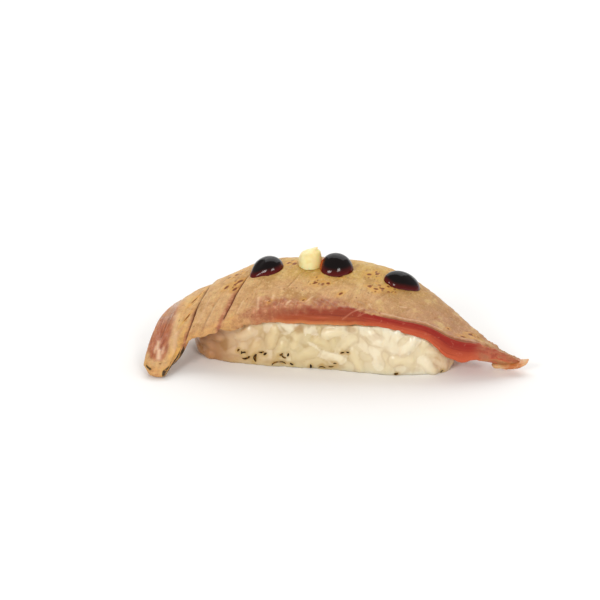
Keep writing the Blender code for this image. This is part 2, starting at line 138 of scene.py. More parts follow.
class Value:
    def __init__(self, finish, socket):
        self.finish = finish
        self.socket = socket

    def maths(self, operation, *others):
        return self.finish.node("ShaderNodeMath", {"operation": operation}, dict(enumerate(others)))

    def __add__(self, other):
        return self.maths("ADD", self, other)

    def __sub__(self, other):
        return self.maths("SUBTRACT", self, other)

    def __rsub__(self, other):
        return self.maths("SUBTRACT", other, self)

    def __mul__(self, other):
        return self.maths("MULTIPLY", self, other)

    __radd__ = __add__
    __rmul__ = __mul__

    def over(self, low, high):  # 0 below low, 1 above high, soft between them
        settings = {"interpolation_type": "SMOOTHSTEP"}
        return self.finish.node("ShaderNodeMapRange", settings, {"Value": self, 1: low, 2: high})

    def under(self, low, high):
        return 1 - self.over(low, high)

    def atLeast(self, other):
        return self.maths("MAXIMUM", self, other)


class Finish:
    def __init__(self, name, **constants):
        self.material = bpy.data.materials.new(name)
        self.material.use_nodes = True
        self.tree = self.material.node_tree
        self.surface = self.tree.nodes["Principled BSDF"]
        for socket, value in constants.items():
            self.surface.inputs[socket.replace("_", " ")].default_value = value

    def node(self, kind, settings=None, inputs=None, output=0):
        node = self.tree.nodes.new(kind)
        for name, value in (settings or {}).items():
            setattr(node, name, value)
        for name, value in (inputs or {}).items():
            self.feed(node.inputs[name], value)
        return Value(self, node.outputs[output])

    def feed(self, socket, value):
        if isinstance(value, Value):
            self.tree.links.new(value.socket, socket)
        elif socket.type == "RGBA":
            socket.default_value = (*linear(*value), 1)
        else:
            socket.default_value = value

    def place(self):
        return self.node("ShaderNodeTexCoord", output="Object")

    def along(self, mapName):
        return self.node("ShaderNodeUVMap", {"uv_map": mapName})

    def masks(self, *names):
        kind = "ShaderNodeAttribute"
        return [self.node(kind, {"attribute_name": name}, output="Fac") for name in names]

    def axes(self, vector):
        first = self.node("ShaderNodeSeparateXYZ", None, {0: vector})
        return [Value(self, socket) for socket in first.socket.node.outputs]

    def stretched(self, vector, scale, turn=0.0):
        inputs = {"Vector": vector, "Scale": scale, "Rotation": (0, 0, turn)}
        return self.node("ShaderNodeMapping", None, inputs)

    def noise(self, vector, scale, detail=2.0, rough=0.5):
        inputs = {"Vector": vector, "Scale": scale, "Detail": detail, "Roughness": rough}
        return self.node("ShaderNodeTexNoise", None, inputs)

    def spots(self, vector, scale, size, chosen):  # round spots in some of the cells
        inputs = {"Vector": vector, "Scale": scale}
        away = self.node("ShaderNodeTexVoronoi", None, inputs, "Distance")
        colour = self.node("ShaderNodeTexVoronoi", None, inputs, "Color")
        tone = self.node("ShaderNodeSeparateColor", None, {0: colour})
        return away.under(*size) * tone.over(*chosen)

    def blend(self, first, second, share):
        return self.node("ShaderNodeMix", {"data_type": "RGBA"}, {0: share, 6: first, 7: second}, 2)

    def layered(self, colour, *layers):  # each layer's colour over the ones before it, by its share
        for tint, share in layers:
            colour = self.blend(colour, tint, share)
        return colour

    def bumps(self, *rows):  # rows of (height, depth, strength)
        relief = None
        for height, depth, strength in rows:
            inputs = {"Height": height, "Distance": depth, "Strength": strength}
            if relief:
                inputs["Normal"] = relief
            relief = self.node("ShaderNodeBump", None, inputs)
        return relief

    def show(self, **inputs):
        for socket, value in inputs.items():
            self.feed(self.surface.inputs[socket.replace("_", " ")], value)
        return self.material


# Shapes: smooth random fields, curves through a few rows, and meshes from grids

def cornerValue(corner, seed):  # a random number from 0 to 1 for each corner of a lattice
    mixed = corner[..., 0] * 374761393 + corner[..., 1] * 668265263 + corner[..., 2] * 974634777
    mixed = (mixed + seed * 362437) & 0xFFFFFFFF
    mixed = ((mixed ^ (mixed >> 13)) * 1274126177) & 0xFFFFFFFF
    return ((mixed ^ (mixed >> 16)) & 0xFFFF) / 65535


def softField(points, size, seed):  # smooth field from -1 to 1 whose lumps are about that size
    at = points / size
    base = np.floor(at).astype(np.int64)
    part = at - base
    part = part * part * (3 - 2 * part)
    total = np.zeros(points.shape[:-1])
    for corner in np.ndindex(2, 2, 2):
        share = np.prod(np.where(corner, part, 1 - part), axis=-1)
        total += share * cornerValue(base + np.array(corner), seed)
    return 2 * total - 1


def layeredField(points, size, seed, layers=3):
    fields = (0.5**k * softField(points, size / 2**k, seed + 17 * k) for k in range(layers))
    return sum(fields)


def spread(*columns):  # a grid of points from three grids of numbers
    return np.stack(np.broadcast_arrays(*columns), axis=-1)


def step(low, high, values):
    share = np.clip((values - low) / (high - low), 0, 1)
    return share * share * (3 - 2 * share)


def between(values, rise, risen, fall, fallen):  # 1 from risen to fall, soft on both sides
    return step(rise, risen, values) * (1 - step(fall, fallen, values))


def bell(values, width):
    return np.exp(-((values / width) ** 2))


def curveThrough(rows, shares):  # smooth curve through rows of (share, value, ...)
    table = np.array(rows, float)
    at, values = table[:, 0], table[:, 1:]
    slopes = np.gradient(values, at, axis=0)
    index = np.clip(np.searchsorted(at, shares, side="right") - 1, 0, len(at) - 2)
    gap = (at[index + 1] - at[index])[:, None]
    t = ((shares - at[index]) / gap[:, 0])[:, None]
    return (
        (2 * t**3 - 3 * t**2 + 1) * values[index]
        + (t**3 - 2 * t**2 + t) * gap * slopes[index]
        + (3 * t**2 - 2 * t**3) * values[index + 1]
        + (t**3 - t**2) * gap * slopes[index + 1]
    )


def unit(vectors):
    return vectors / np.maximum(np.linalg.norm(vectors, axis=-1, keepdims=True), 1e-12)


def newPiece(name, points, faces, material, smooth=True):
    mesh = bpy.data.meshes.new(name)
    mesh.from_pydata(np.asarray(points).tolist(), [], faces)
    mesh.update()
    piece = inScene(name, mesh)
    mesh.materials.append(material)
    work = bmesh.new()
    work.from_mesh(mesh)
    bmesh.ops.recalc_face_normals(work, faces=work.faces)
    work.to_mesh(mesh)
    work.free()
    if smooth:
        mesh.shade_smooth()
    return piece


def tubeFaces(rings, size, first=0):  # quads between rings of points, each ring closed on itself
    i, j = np.meshgrid(np.arange(rings - 1), np.arange(size), indexing="ij")
    k = (j + 1) % size
    quads = np.stack([i * size + j, i * size + k, (i + 1) * size + k, (i + 1) * size + j], axis=-1)
    return (quads.reshape(-1, 4) + first).tolist()


def fan(first, size, middle):  # triangles from the points of a ring to a middle point
    return [(first + j, first + (j + 1) % size, middle) for j in range(size)]


def flatEnds(rings, size, first=0):
    return [tuple(range(at, at + size)) for at in (first, first + (rings - 1) * size)]


def capsuleFaces(rings, size):  # point 0, then the rings, then the last point
    last = 1 + (rings - 1) * size
    return fan(1, size, 0) + tubeFaces(rings, size, 1) + fan(last, size, last + size)


def paint(piece, name, values):  # a number for each point of the mesh
    layer = piece.data.attributes.new(name, "FLOAT", "POINT")
    layer.data.foreach_set("value", np.asarray(values, np.float32).ravel())


def paintMap(piece, name, coordinates):  # a flat map from two numbers for each point
    corners = np.zeros(len(piece.data.loops), np.int32)
    piece.data.loops.foreach_get("vertex_index", corners)
    layer = piece.data.uv_layers.new(name=name)
    layer.data.foreach_set("uv", np.asarray(coordinates, np.float32)[corners].ravel())


def treeOf(piece):
    points = [v.co for v in piece.data.vertices]
    return BVHTree.FromPolygons(points, [tuple(p.vertices) for p in piece.data.polygons])


def hitsAbove(tree, x, y, reach):  # where lines straight up round a place meet the underside
    near = (-reach, 0, reach)
    places = [Vector((x + dx, y + dy, -0.01)) for dx in near for dy in near]
    hits = [tree.ray_cast(place, Vector((0, 0, 1)))[0] for place in places]
    return [hit.z for hit in hits if hit]


# Fish slice: rows of its lines are (share of the length, x, y, z)

fishSlice = {
    "length": 0.0877,
    "stations": 430,
    "topColumns": 132,
    "sideRows": 22,
    "underColumns": 44,
    "backRows": 7,
    "ridge": (
        (0.00, -0.0355, -0.0034, 0.0092), (0.10, -0.0270, 0.0005, 0.0131),
        (0.25, -0.0160, 0.0020, 0.0184), (0.42, -0.0020, 0.0022, 0.0198),
        (0.60, 0.0126, 0.0018, 0.0180), (0.75, 0.0240, -0.0002, 0.0126),
        (0.82, 0.0290, -0.0028, 0.0095), (0.87, 0.0330, -0.0054, 0.0074),
        (0.95, 0.0395, -0.0076, 0.0038), (1.00, 0.0436, -0.0074, 0.0022),
    ),
    "front": (
        (0.000, -0.0382, -0.0182, 0.0024), (0.030, -0.0361, -0.0209, 0.0016),
        (0.060, -0.0326, -0.0206, 0.0015), (0.085, -0.0313, -0.0173, 0.0028),
        (0.115, -0.0294, -0.0146, 0.0062), (0.170, -0.0258, -0.0142, 0.0084),
        (0.230, -0.0210, -0.0135, 0.0106), (0.340, -0.0120, -0.0132, 0.0143),
        (0.450, -0.0030, -0.0132, 0.0151), (0.570, 0.0070, -0.0132, 0.0148),
        (0.660, 0.0145, -0.0132, 0.0134), (0.750, 0.0225, -0.0129, 0.0118),
        (0.830, 0.0285, -0.0124, 0.0089), (0.900, 0.0345, -0.0115, 0.0074),
        (0.960, 0.0398, -0.0096, 0.0046), (1.000, 0.0436, -0.0082, 0.0022),
    ),
    "back": (
        (0.00, -0.0315, 0.0060, 0.0070), (0.10, -0.0230, 0.0115, 0.0086),
        (0.25, -0.0110, 0.0132, 0.0126), (0.45, 0.0030, 0.0132, 0.0140),
        (0.60, 0.0150, 0.0122, 0.0118), (0.75, 0.0250, 0.0070, 0.0083),
        (0.82, 0.0295, 0.0026, 0.0068), (0.87, 0.0333, -0.0010, 0.0052),
        (0.95, 0.0394, -0.0054, 0.0034), (1.00, 0.0436, -0.0066, 0.0021),
    ),
    "sideHeight": (
        (0.00, 0.0014), (0.06, 0.0012), (0.12, 0.0012), (0.17, 0.0015), (0.23, 0.0023),
        (0.34, 0.0043), (0.50, 0.0051), (0.66, 0.0031), (0.75, 0.0036), (0.79, 0.0042),
        (0.82, 0.0050), (0.84, 0.0055), (0.86, 0.0049), (0.88, 0.0041), (0.90, 0.0034),
        (0.94, 0.0019), (0.97, 0.0012), (1.00, 0.0008),
    ),
    "middle": 0.0038,         # thickness along the ridge
    "backShare": 0.55,        # thickness of the back edge, of the front edge's
    "leftTaper": 0.20,
    "rightTaper": 0.14,
    "leftShare": 0.5,
    "rightShare": 0.22,
    "crownPower": 1.9,        # 2 is a round crown, more is flatter on top
    "tonguePower": 2.4,
    "tongueEnd": 0.13,
    "lean": 0.5,              # 0 measures thickness across the skin, 1 straight down
    "lowest": 0.0002,
    "roundEnd": 0.0011,
    "edgeCrowding": 0.82,
    "cornerReach": 3.2,
    "cornerPasses": 7,
    "flakes": ((-0.02, 0.108, 0.0), (0.113, 0.24, 0.00034), (0.245, 0.40, 0.00022)),  # ends, swell
}
# Seams between flakes: start at the front edge, lean along the slice for each metre up the
# section, depth, half width, the low step behind, and from where to where it runs up the section
seams = (
    (0.114, 0.0, 0.00105, 0.00050, 0.00050, 0.0, 0.027),
    (0.224, 2.0, 0.00070, 0.00040, 0.00042, 0.001, 0.016),
    (0.3655, 2.0, 0.00036, 0.00026, 0.00008, 0.0, 0.0045),
    (0.3660, 2.0, 0.00026, 0.00024, 0.00008, 0.0055, 0.014),
    (0.0325, 0.0, 0.00034, 0.00030, 0.00005, 0.0085, 0.020),
    (0.170, 1.8, 0.00022, 0.00080, 0.00008, 0.0, 0.012),
    (0.190, 2.0, 0.00014, 0.00030, 0.00005, 0.0, 0.008),
    (0.285, 3.2, 0.00016, 0.00030, 0.00006, 0.001, 0.010),
    (0.440, 4.6, 0.00011, 0.00024, 0.00005, 0.003, 0.013),
    (0.505, 5.0, 0.00012, 0.00024, 0.00005, 0.003, 0.013),
    (0.590, 5.0, 0.00010, 0.00024, 0.00004, 0.002, 0.012),
    (0.665, 5.6, 0.00010, 0.00024, 0.00004, 0.002, 0.011),
    (0.735, 6.0, 0.00010, 0.00024, 0.00004, 0.002, 0.010),
)
# Raw channel down the tongue: way up from its end, middle, half width, depth
channel = (
    (0.0022, 0.034, 0.006, 0.00000), (0.0038, 0.032, 0.022, 0.00018),
    (0.0060, 0.030, 0.028, 0.00036), (0.0095, 0.028, 0.028, 0.00032),
    (0.0125, 0.028, 0.024, 0.00026), (0.0165, 0.031, 0.014, 0.00022),
    (0.0242, 0.023, 0.010, 0.00015), (0.0300, 0.022, 0.006, 0.00000),
)
# Patches of scorched dots on the top: share of the length, way up the section, radius
freckles = (
    (0.205, 0.0160, 0.0030), (0.222, 0.0105, 0.0022), (0.086, 0.0160, 0.0018),
    (0.098, 0.0215, 0.0020), (0.350, 0.0150, 0.0022), (0.450, 0.0085, 0.0026),
    (0.500, 0.0115, 0.0026), (0.571, 0.0130, 0.0024), (0.600, 0.0085, 0.0024),
    (0.635, 0.0095, 0.0018), (0.860, 0.0045, 0.0020), (0.931, 0.0018, 0.0012),
    (0.300, 0.0200, 0.0040), (0.480, 0.0210, 0.0050), (0.620, 0.0190, 0.0040),
    (0.160, 0.0220, 0.0040),
)
# Single scorch marks: share of the length, way up the section, half length, half width, turn
scorchMarks = (
    (0.084, 0.0238, 0.00050, 0.00035, 0.3), (0.070, 0.0256, 0.00060, 0.00040, 0.9),
    (0.086, 0.0160, 0.00055, 0.00035, 0.0), (0.087, 0.0106, 0.00060, 0.00030, 0.1),
    (0.162, 0.0190, 0.00035, 0.00030, 0.0), (0.196, 0.0200, 0.00040, 0.00030, 0.4),
    (0.232, 0.0115, 0.00070, 0.00040, 0.1), (0.197, 0.0110, 0.00055, 0.00050, 0.0),
    (0.227, 0.0092, 0.00055, 0.00045, 0.8), (0.222, 0.0109, 0.00050, 0.00030, 0.2),
    (0.442, 0.0075, 0.00060, 0.00026, 0.5), (0.475, 0.0077, 0.00040, 0.00030, 0.0),
    (0.519, 0.0047, 0.00050, 0.00028, 0.9), (0.346, 0.0016, 0.00030, 0.00022, 0.5),
    (0.431, 0.0021, 0.00032, 0.00022, 0.5), (0.564, 0.0129, 0.00050, 0.00035, 0.3),
    (0.577, 0.0145, 0.00040, 0.00022, 1.5), (0.599, 0.0080, 0.00055, 0.00026, 0.0),
    (0.614, 0.0087, 0.00050, 0.00028, 0.1), (0.625, 0.0100, 0.00035, 0.00024, 0.2),
    (0.580, 0.0085, 0.00045, 0.00024, 0.0), (0.804, 0.0031, 0.00028, 0.00022, 0.6),
    (0.845, 0.0023, 0.00060, 0.00030, 0.2), (0.857, 0.0050, 0.00060, 0.00035, 1.2),
    (0.380, 0.0230, 0.00060, 0.00040, 0.4), (0.550, 0.0220, 0.00050, 0.00035, 0.9),
    (0.270, 0.0225, 0.00055, 0.00040, 0.2),
)
# Pale threads of flesh, and short pale strokes on the tongue that are painted highlights: both ends
# as (share of the length, way up the section), half width and strength
paleThreadsAndHighlights = (
    (0.674, 0.0047, 0.687, 0.0050, 0.00020, 0.6), (0.541, -0.0022, 0.588, 0.0010, 0.00015, 0.40),
    (0.580, -0.0014, 0.604, 0.0002, 0.00014, 0.30), (0.319, 0.0004, 0.311, 0.0034, 0.00026, 0.5),
    (0.392, 0.0006, 0.398, 0.0017, 0.00022, 0.6), (0.180, 0.0020, 0.186, 0.0062, 0.00034, 0.30),
    (0.148, 0.0030, 0.156, 0.0090, 0.00036, 0.25), (0.0300, 0.0076, 0.0325, 0.0058, 0.00032, 0.9),
    (0.0370, 0.0056, 0.0405, 0.0036, 0.00038, 1.0), (0.0270, 0.0064, 0.0285, 0.0048, 0.00022, 0.7),
    (0.0440, 0.0066, 0.0450, 0.0050, 0.00022, 0.6), (0.0640, 0.0090, 0.0740, 0.0036, 0.00080, 0.55),
    (0.0520, 0.0150, 0.0600, 0.0095, 0.00060, 0.30), (0.640, 0.0008, 0.700, 0.0009, 0.00022, 0.45),
    (0.700, 0.0009, 0.790, 0.0009, 0.00022, 0.35), (0.262, 0.0012, 0.270, 0.0040, 0.00024, 0.35),
    (0.352, 0.0022, 0.349, 0.0034, 0.00020, 0.5), (0.440, 0.0016, 0.452, 0.0030, 0.00018, 0.5),
    (0.610, 0.0016, 0.600, 0.0026, 0.00016, 0.5),
)


def sliceTop(shares, across):
    lines = ("ridge", "front", "back")
    ridge, front, back = (curveThrough(fishSlice[k], shares)[:, None, :] for k in lines)
    v = across[None, :, None]
    grid = ridge + (back - front) / 2 * v + (front + back - 2 * ridge) / 2 * v**2
    tongue = np.clip(1 - shares / fishSlice["tongueEnd"], 0, 1)[:, None]
    power = fishSlice["crownPower"] + (fishSlice["tonguePower"] - fishSlice["crownPower"]) * tongue
    edge = np.where(across[None, :] < 0, front[:, :, 2], back[:, :, 2])
    grid[:, :, 2] = ridge[:, :, 2] + (edge - ridge[:, :, 2]) * np.abs(across)[None, :] ** power
    return grid


def taper(shares, reach, least):
    return least + (1 - least) * np.sin(np.clip(shares / reach, 0, 1) * math.pi / 2)


def sliceThickness(shares, across):
    facts = fishSlice
    side = curveThrough(facts["sideHeight"], shares)
    ragged = layeredField(spread(shares * facts["length"], 0.0, 0.0), 0.0021, 41)
    side = side * (1 + ragged * (0.05 + 0.34 * between(shares, 0.09, 0.12, 0.26, 0.34)))[:, None]
    left = taper(shares, facts["leftTaper"], facts["leftShare"])
    right = taper(1 - shares, facts["rightTaper"], facts["rightShare"])
    middle = (facts["middle"] * np.minimum(left, right))[:, None]
    edge = side * (1 - (1 - facts["backShare"]) * np.clip(across, 0, 1) ** 2)[None, :]
    return edge + (middle - edge) * (1 - across[None, :] ** 2)


def seamLines(u, s):  # for each seam: metres from its line, how much of it is there, its row
    for seam in seams:
        at, lean, first, last = seam[0], seam[1], seam[5], seam[6]
        wander = softField(spread(s, 0.0, at), 0.0045, 5) * 0.00028
        away = (u - at) * fishSlice["length"] - lean * 0.1 * s + wander
        yield away, between(s, first - 0.001, first + 0.001, last - 0.006, last), seam


def channelShape(u, s):  # 0 outside the raw channel and 1 at its middle, and its depth there
    table = np.array(channel)
    middle, half, depth = (np.interp(s, table[:, 0], table[:, k]) for k in (1, 2, 3))
    across = (u - middle) / np.maximum(half, 1e-4)
    return np.clip(1 - across**2, 0, 1) ** 0.8, depth


def topRelief(u, s, points):  # height above the smooth top, in metres
    along = u * fishSlice["length"]
    height = 0.00013 * layeredField(points, 0.0042, 3)
    height += 0.00006 * layeredField(spread((along - 0.25 * s) / 0.0008, s / 0.005, 0.0), 1.0, 9, 2)
    height += 0.00004 * layeredField(points, 0.0011, 13, 2)
    for left, right, swell in fishSlice["flakes"]:
        across = np.clip((u - left) / (right - left), 0, 1)
        height += swell * np.sin(math.pi * across) * (1 - step(0.010, 0.020, s))
    for away, reach, (_, _, depth, width, lift, _, _) in seamLines(u, s):
        height -= depth * np.exp(-(np.abs(away) / width) ** 1.4) * reach
        height += lift * np.exp(-np.maximum(away, 0) / 0.0026) * (away > 0) * reach
        height -= 0.5 * lift * np.exp(-np.maximum(-away, 0) / 0.0016) * (away <= 0) * reach
    share, depth = channelShape(u, s)
    ribs = softField(spread(along / 0.00055, s / 0.0050, 0.0), 1.0, 61)
    height += (
        0.00012 * ribs * np.clip(share * 2, 0, 1) * (1 - step(0.011, 0.014, s)) - share * depth
    )
    torn = between(u, 0.27, 0.33, 0.60, 0.66) * (1 - step(0.0018, 0.0032, s))
    shreds = layeredField(spread((along + 1.1 * s) / 0.0007, s / 0.0012, 0.0), 1.0, 21, 3)
    height += torn * 0.00030 * np.maximum(shreds, -0.4)
    height += 0.00014 * threadAndHighlightCover(u, s) - 0.00008 * markCover(u, s, 1.0)
    height += between(u, 0.60, 0.68, 0.86, 0.92) * 0.00022 * bell(s - 0.0005, 0.0004)
    return height + step(0.84, 0.90, u) * 0.00034 * layeredField(points, 0.0012, 33)


def wall(start, end, rows):  # rows of points between two edges, without the edges themselves
    share = np.linspace(0, 1, rows + 2)[1:-1][None, :, None]
    return start[:, None, :] * (1 - share) + end[:, None, :] * share


def sideRelief(shares, points, outward):  # low streaks and a slight swell on the cut face
    share = np.linspace(0, 1, fishSlice["sideRows"] + 2)[None, 1:-1]
    along = shares[:, None] * fishSlice["length"]
    height = 0.00022 * np.sin(math.pi * share)
    height = height + 0.00006 * layeredField(spread(along / 0.005, share / 0.09, 0.0), 1.0, 51)
    height = height + 0.00010 * layeredField(points, 0.0020, 57)
    height *= 0.3 + 0.7 * step(0.22, 0.32, shares)[:, None]
    return unit(outward * np.array([0.4, 1, 0.2])) * height[:, :, None]


def roundCorners(ring, corners):
    size = ring.shape[1]
    weight = np.zeros(size)
    for corner in corners:
        gap = np.abs((np.arange(size) - corner + size / 2) % size - size / 2)
        weight = np.maximum(weight, np.clip(1 - gap / fishSlice["cornerReach"], 0, 1))
    for _ in range(fishSlice["cornerPasses"]):
        beside = (np.roll(ring, 1, axis=1) + np.roll(ring, -1, axis=1)) / 2
        ring = ring + (beside - ring) * weight[None, :, None] * 0.9
    return ring


def buildFish(material):
    facts = fishSlice
    shares = np.linspace(0, 1, facts["stations"])
    crowded = math.pi / 2 * facts["edgeCrowding"]
    across = np.sin(np.linspace(-1, 1, facts["topColumns"]) * crowded) / math.sin(crowded)
    smooth = sliceTop(shares, across)
    normal = unit(np.cross(np.gradient(smooth, axis=0), np.gradient(smooth, axis=1)))
    up = np.zeros_like(smooth[:, :, 0])
    up[:, 1:] = np.cumsum(np.linalg.norm(np.diff(smooth, axis=1), axis=2), axis=1)
    u = shares[:, None] + 0 * up
    ends = np.minimum(shares, 1 - shares) * facts["length"]
    blunt = np.sqrt(1 - np.clip(1 - ends / facts["roundEnd"], 0, 1) ** 2)[:, None]
    thick = sliceThickness(shares, across)
    lean = unit(normal * (1 - facts["lean"]) + np.array([0, 0, facts["lean"]]))
    edgeFade = 1 - 0.75 * step(0.93, 1.0, np.abs(across))[None, :]
    relief = topRelief(u, up, smooth) * edgeFade * blunt
    top = smooth + normal * relief[:, :, None] - lean * (thick * (1 - blunt) / 2)[:, :, None]
    under = smooth - lean * (thick * (1 + blunt) / 2)[:, :, None]
    under[:, :, 2] = np.maximum(under[:, :, 2], facts["lowest"])
    top[:, :, 2] = np.maximum(top[:, :, 2], under[:, :, 2] + 0.00015)
    pick = np.linspace(0, facts["topColumns"] - 1, facts["underColumns"]).round().astype(int)
    below = under[:, pick[::-1]]
    backDown = wall(top[:, -1], below[:, 0], facts["backRows"])
    sideUp = wall(below[:, -1], top[:, 0], facts["sideRows"])
    sideUp += sideRelief(shares, sideUp, normal[:, :1])
    ring = np.concatenate([top, backDown, below, sideUp], axis=1)
    first = facts["topColumns"] + facts["backRows"]
    corners = (0, facts["topColumns"] - 1, first, first + facts["underColumns"] - 1)
    ring = roundCorners(ring, corners)
    ring[:, :, 2] = np.maximum(ring[:, :, 2], facts["lowest"])
    rows, size = ring.shape[:2]
    count = rows * size  # the two ends close on points of their own, after all the others
    faces = tubeFaces(rows, size) + fan(0, size, count) + fan(count - size, size, count + 1)
    fish = newPiece("fishSlice", withEnds(ring), faces, material)
    paintFish(fish, shares, up, size)
    return fish


def withEnds(values):  # a list of the grid's values and then the means of its first and last rows
    flat = values.reshape(-1, *values.shape[2:])
    return np.concatenate([flat, values[:1].mean(axis=1), values[-1:].mean(axis=1)])


def paintFish(fish, shares, up, size):
    facts = fishSlice
    parts = ("topColumns", "backRows", "underColumns", "sideRows")
    tops, backs, unders, sides = (facts[k] for k in parts)
    back, side = slice(tops, tops + backs), slice(size - sides, size)
    under = slice(back.stop, side.start)
    u = np.repeat(shares[:, None], size, axis=1)
    s = np.zeros(u.shape)  # way up the section from the front edge, below 0 on the cut side
    low = np.zeros(u.shape)  # 0 at the cut side's upper edge, 1 at its lower edge
    onTop, onUnder = np.zeros(size), np.zeros(size)
    onTop[:tops] = onUnder[under] = 1
    low[:, side] = 1 - np.linspace(0, 1, sides + 2)[None, 1:-1]
    low[:, under] = 1
    low[:, back] = np.linspace(0, 1, backs)
    s[:, :tops] = up
    s[:, back] = up[:, -1:] + np.linspace(0.0003, 0.002, backs)
    s[:, under] = -0.02 + np.linspace(0, 0.014, unders)
    s[:, side] = -0.004 * low[:, side]
    shown = onTop.copy()  # the seared top and the cut side
    shown[side] = 1
    lengthwise = spread(u * facts["length"], s, 0.0)
    wobble = layeredField(lengthwise, 0.0030, 71)
    fine = layeredField(lengthwise, 0.0009, 77)

    bleed = np.interp(u, [0.0, 0.30, 0.40, 0.50, 0.55, 0.60, 0.63, 0.86, 0.93, 1.0],
                      [0.0, -0.0002, -0.0004, -0.0002, 0.0006, 0.0001, -0.0001, 0.0, 0.0006, 0.0])
    softness = np.interp(u, [0.0, 0.50, 0.58, 0.64, 0.86, 0.92],
                         [0.0013, 0.0012, 0.0006, 0.00014, 0.00018, 0.0006])
    edge = (s - bleed - 0.0005 * (wobble + fine) * (softness > 0.0003)) / softness
    rawAlong = step(0.29, 0.41, u + 0.03 * wobble)
    raw = shown * (1 - step(-1, 1, edge)) * rawAlong + onUnder * (0.5 + 0.5 * rawAlong)
    raw[:, back] = step(0.2, 0.3, u)[:, back] * np.linspace(0.3, 1, backs)
    tipMottle = step(0.880, 0.912, u) * step(-0.5, 0.25, wobble + fine)
    raw = raw * (1 - 0.75 * tipMottle) * (1 - 0.55 * step(0.945, 0.985, u))

    inChannel, depth = channelShape(u, s)
    wet = inChannel * onTop * np.clip(depth / 0.0002, 0, 1)
    wet = np.clip(wet + 0.25 * fine * (wet > 0.02), 0, 1)

    lip = bell(s - bleed - 0.00016, 0.00020) * between(u, 0.60, 0.67, 0.87, 0.91)
    dark, beside = 0.62 * lip, np.zeros(u.shape)
    for away, reach, seam in seamLines(u, s):
        strength = min(1, 0.14 + seam[2] / 0.0011)
        dark = np.maximum(dark, bell(away + 0.00008, seam[3] * 1.15) * reach * strength)
        if seam in seams[:2]:  # painted shade on the flake's side, left of the two deep seams
            strip = between(away, -0.0018, -0.0007, -0.0001, 0.0003)
            beside = np.maximum(beside, strip * (1 - step(0.006, 0.014, s)))

    pinkAndSeamShade = np.interp(u, [0, 0.24, 0.32, 0.50, 0.62, 0.80, 0.90, 1.0],
                     [0.25, 0.2, 1, 1, 0.5, 0.35, 0.9, 0.7])
    height = np.interp(u, [0, 0.24, 0.32, 0.58, 0.66, 1.0],
                       [0.002, 0.003, 0.0040, 0.0034, 0.0022, 0.004])
    pinkAndSeamShade = pinkAndSeamShade * (1 - step(0.15, 1.0, s / height + 0.35 * wobble))
    leftFlank = (1 - step(0.046, 0.058, u)) * between(s, 0.0020, 0.0045, 0.016, 0.024)
    # The pink mask also carries the painted shade beside the two deep seams.
    pinkAndSeamShade = np.maximum(pinkAndSeamShade, np.maximum(beside, 0.85 * leftFlank)) * shown

    golden = 0.45 * (1 - step(0.20, 0.40, u)) * step(0.010, 0.018, s)
    strip = 0.9 * between(u, 0.054, 0.064, 0.106, 0.114) * (1 - step(0.005, 0.009, s))
    tongueEnd = 0.6 * (1 - step(0.0008, 0.0022, s)) * (1 - step(0.095, 0.11, u))
    thinEdge = 0.5 * between(u, 0.114, 0.12, 0.25, 0.29)
    thinEdge = thinEdge * (1 - step(0.0002, 0.0012, s + 0.0003 * fine))
    golden = np.maximum.reduce([golden, thinEdge, strip, tongueEnd]) * shown

    rim = between(u, 0.062, 0.070, 0.106, 0.114) * (1 - step(0.0002, 0.0009, s + 0.0002 * fine))
    spots = between(u, 0.050, 0.054, 0.064, 0.070) * (1 - step(0.0007, 0.0016, s))
    dash = 0.8 * between(u, 0.012, 0.016, 0.030, 0.036) * bell(s - 0.0006, 0.0004)
    scorch = np.maximum.reduce([rim, spots, dash]) * step(-0.9, 0.1, fine)

    masks = {
        "raw": raw, "low": low, "seam": dark * onTop, "pinkAndSeamShade": pinkAndSeamShade, "golden": golden, "wet": wet,
        "scorch": np.clip(scorch, 0, 1), "marked": markCover(u, s, 1.0) * onTop,
        "haloed": markCover(u, s, 2.4) * onTop, "thread": threadAndHighlightCover(u, s) * shown,
        "freckled": freckleCover(u, s) * onTop,
    }
    for name, values in masks.items():
        paint(fish, name, withEnds(values))
    paintMap(fish, "sliceMap", withEnds(lengthwise[:, :, :2]))


def freckleCover(u, s):
    cover = np.zeros(u.shape)
    for at, way, radius in freckles:
        away = np.hypot((u - at) * fishSlice["length"], s - way)
        cover = np.maximum(cover, 1 - step(0.5 * radius, 1.25 * radius, away))
    return cover


def turned(dx, dy, turn):
    return dx * math.cos(turn) + dy * math.sin(turn), dy * math.cos(turn) - dx * math.sin(turn)


def markCover(u, s, swollen):
    cover = np.zeros(u.shape)
    for at, way, half, wide, turn in scorchMarks:
        along, aside = turned((u - at) * fishSlice["length"], s - way, turn)
        cover = np.maximum(cover, np.exp(-((along / half) ** 2 + (aside / wide) ** 2) / swollen**2))
    return cover


def threadAndHighlightCover(u, s):
    cover = np.zeros(u.shape)
    length = fishSlice["length"]
    for u0, s0, u1, s1, half, strength in paleThreadsAndHighlights:
        dx, dy = (u1 - u0) * length, s1 - s0
        px, py = (u - u0) * length, s - s0
        share = np.clip((px * dx + py * dy) / (dx * dx + dy * dy), 0, 1)
        cover = np.maximum(cover, strength * bell(np.hypot(px - share * dx, py - share * dy), half))
    return cover


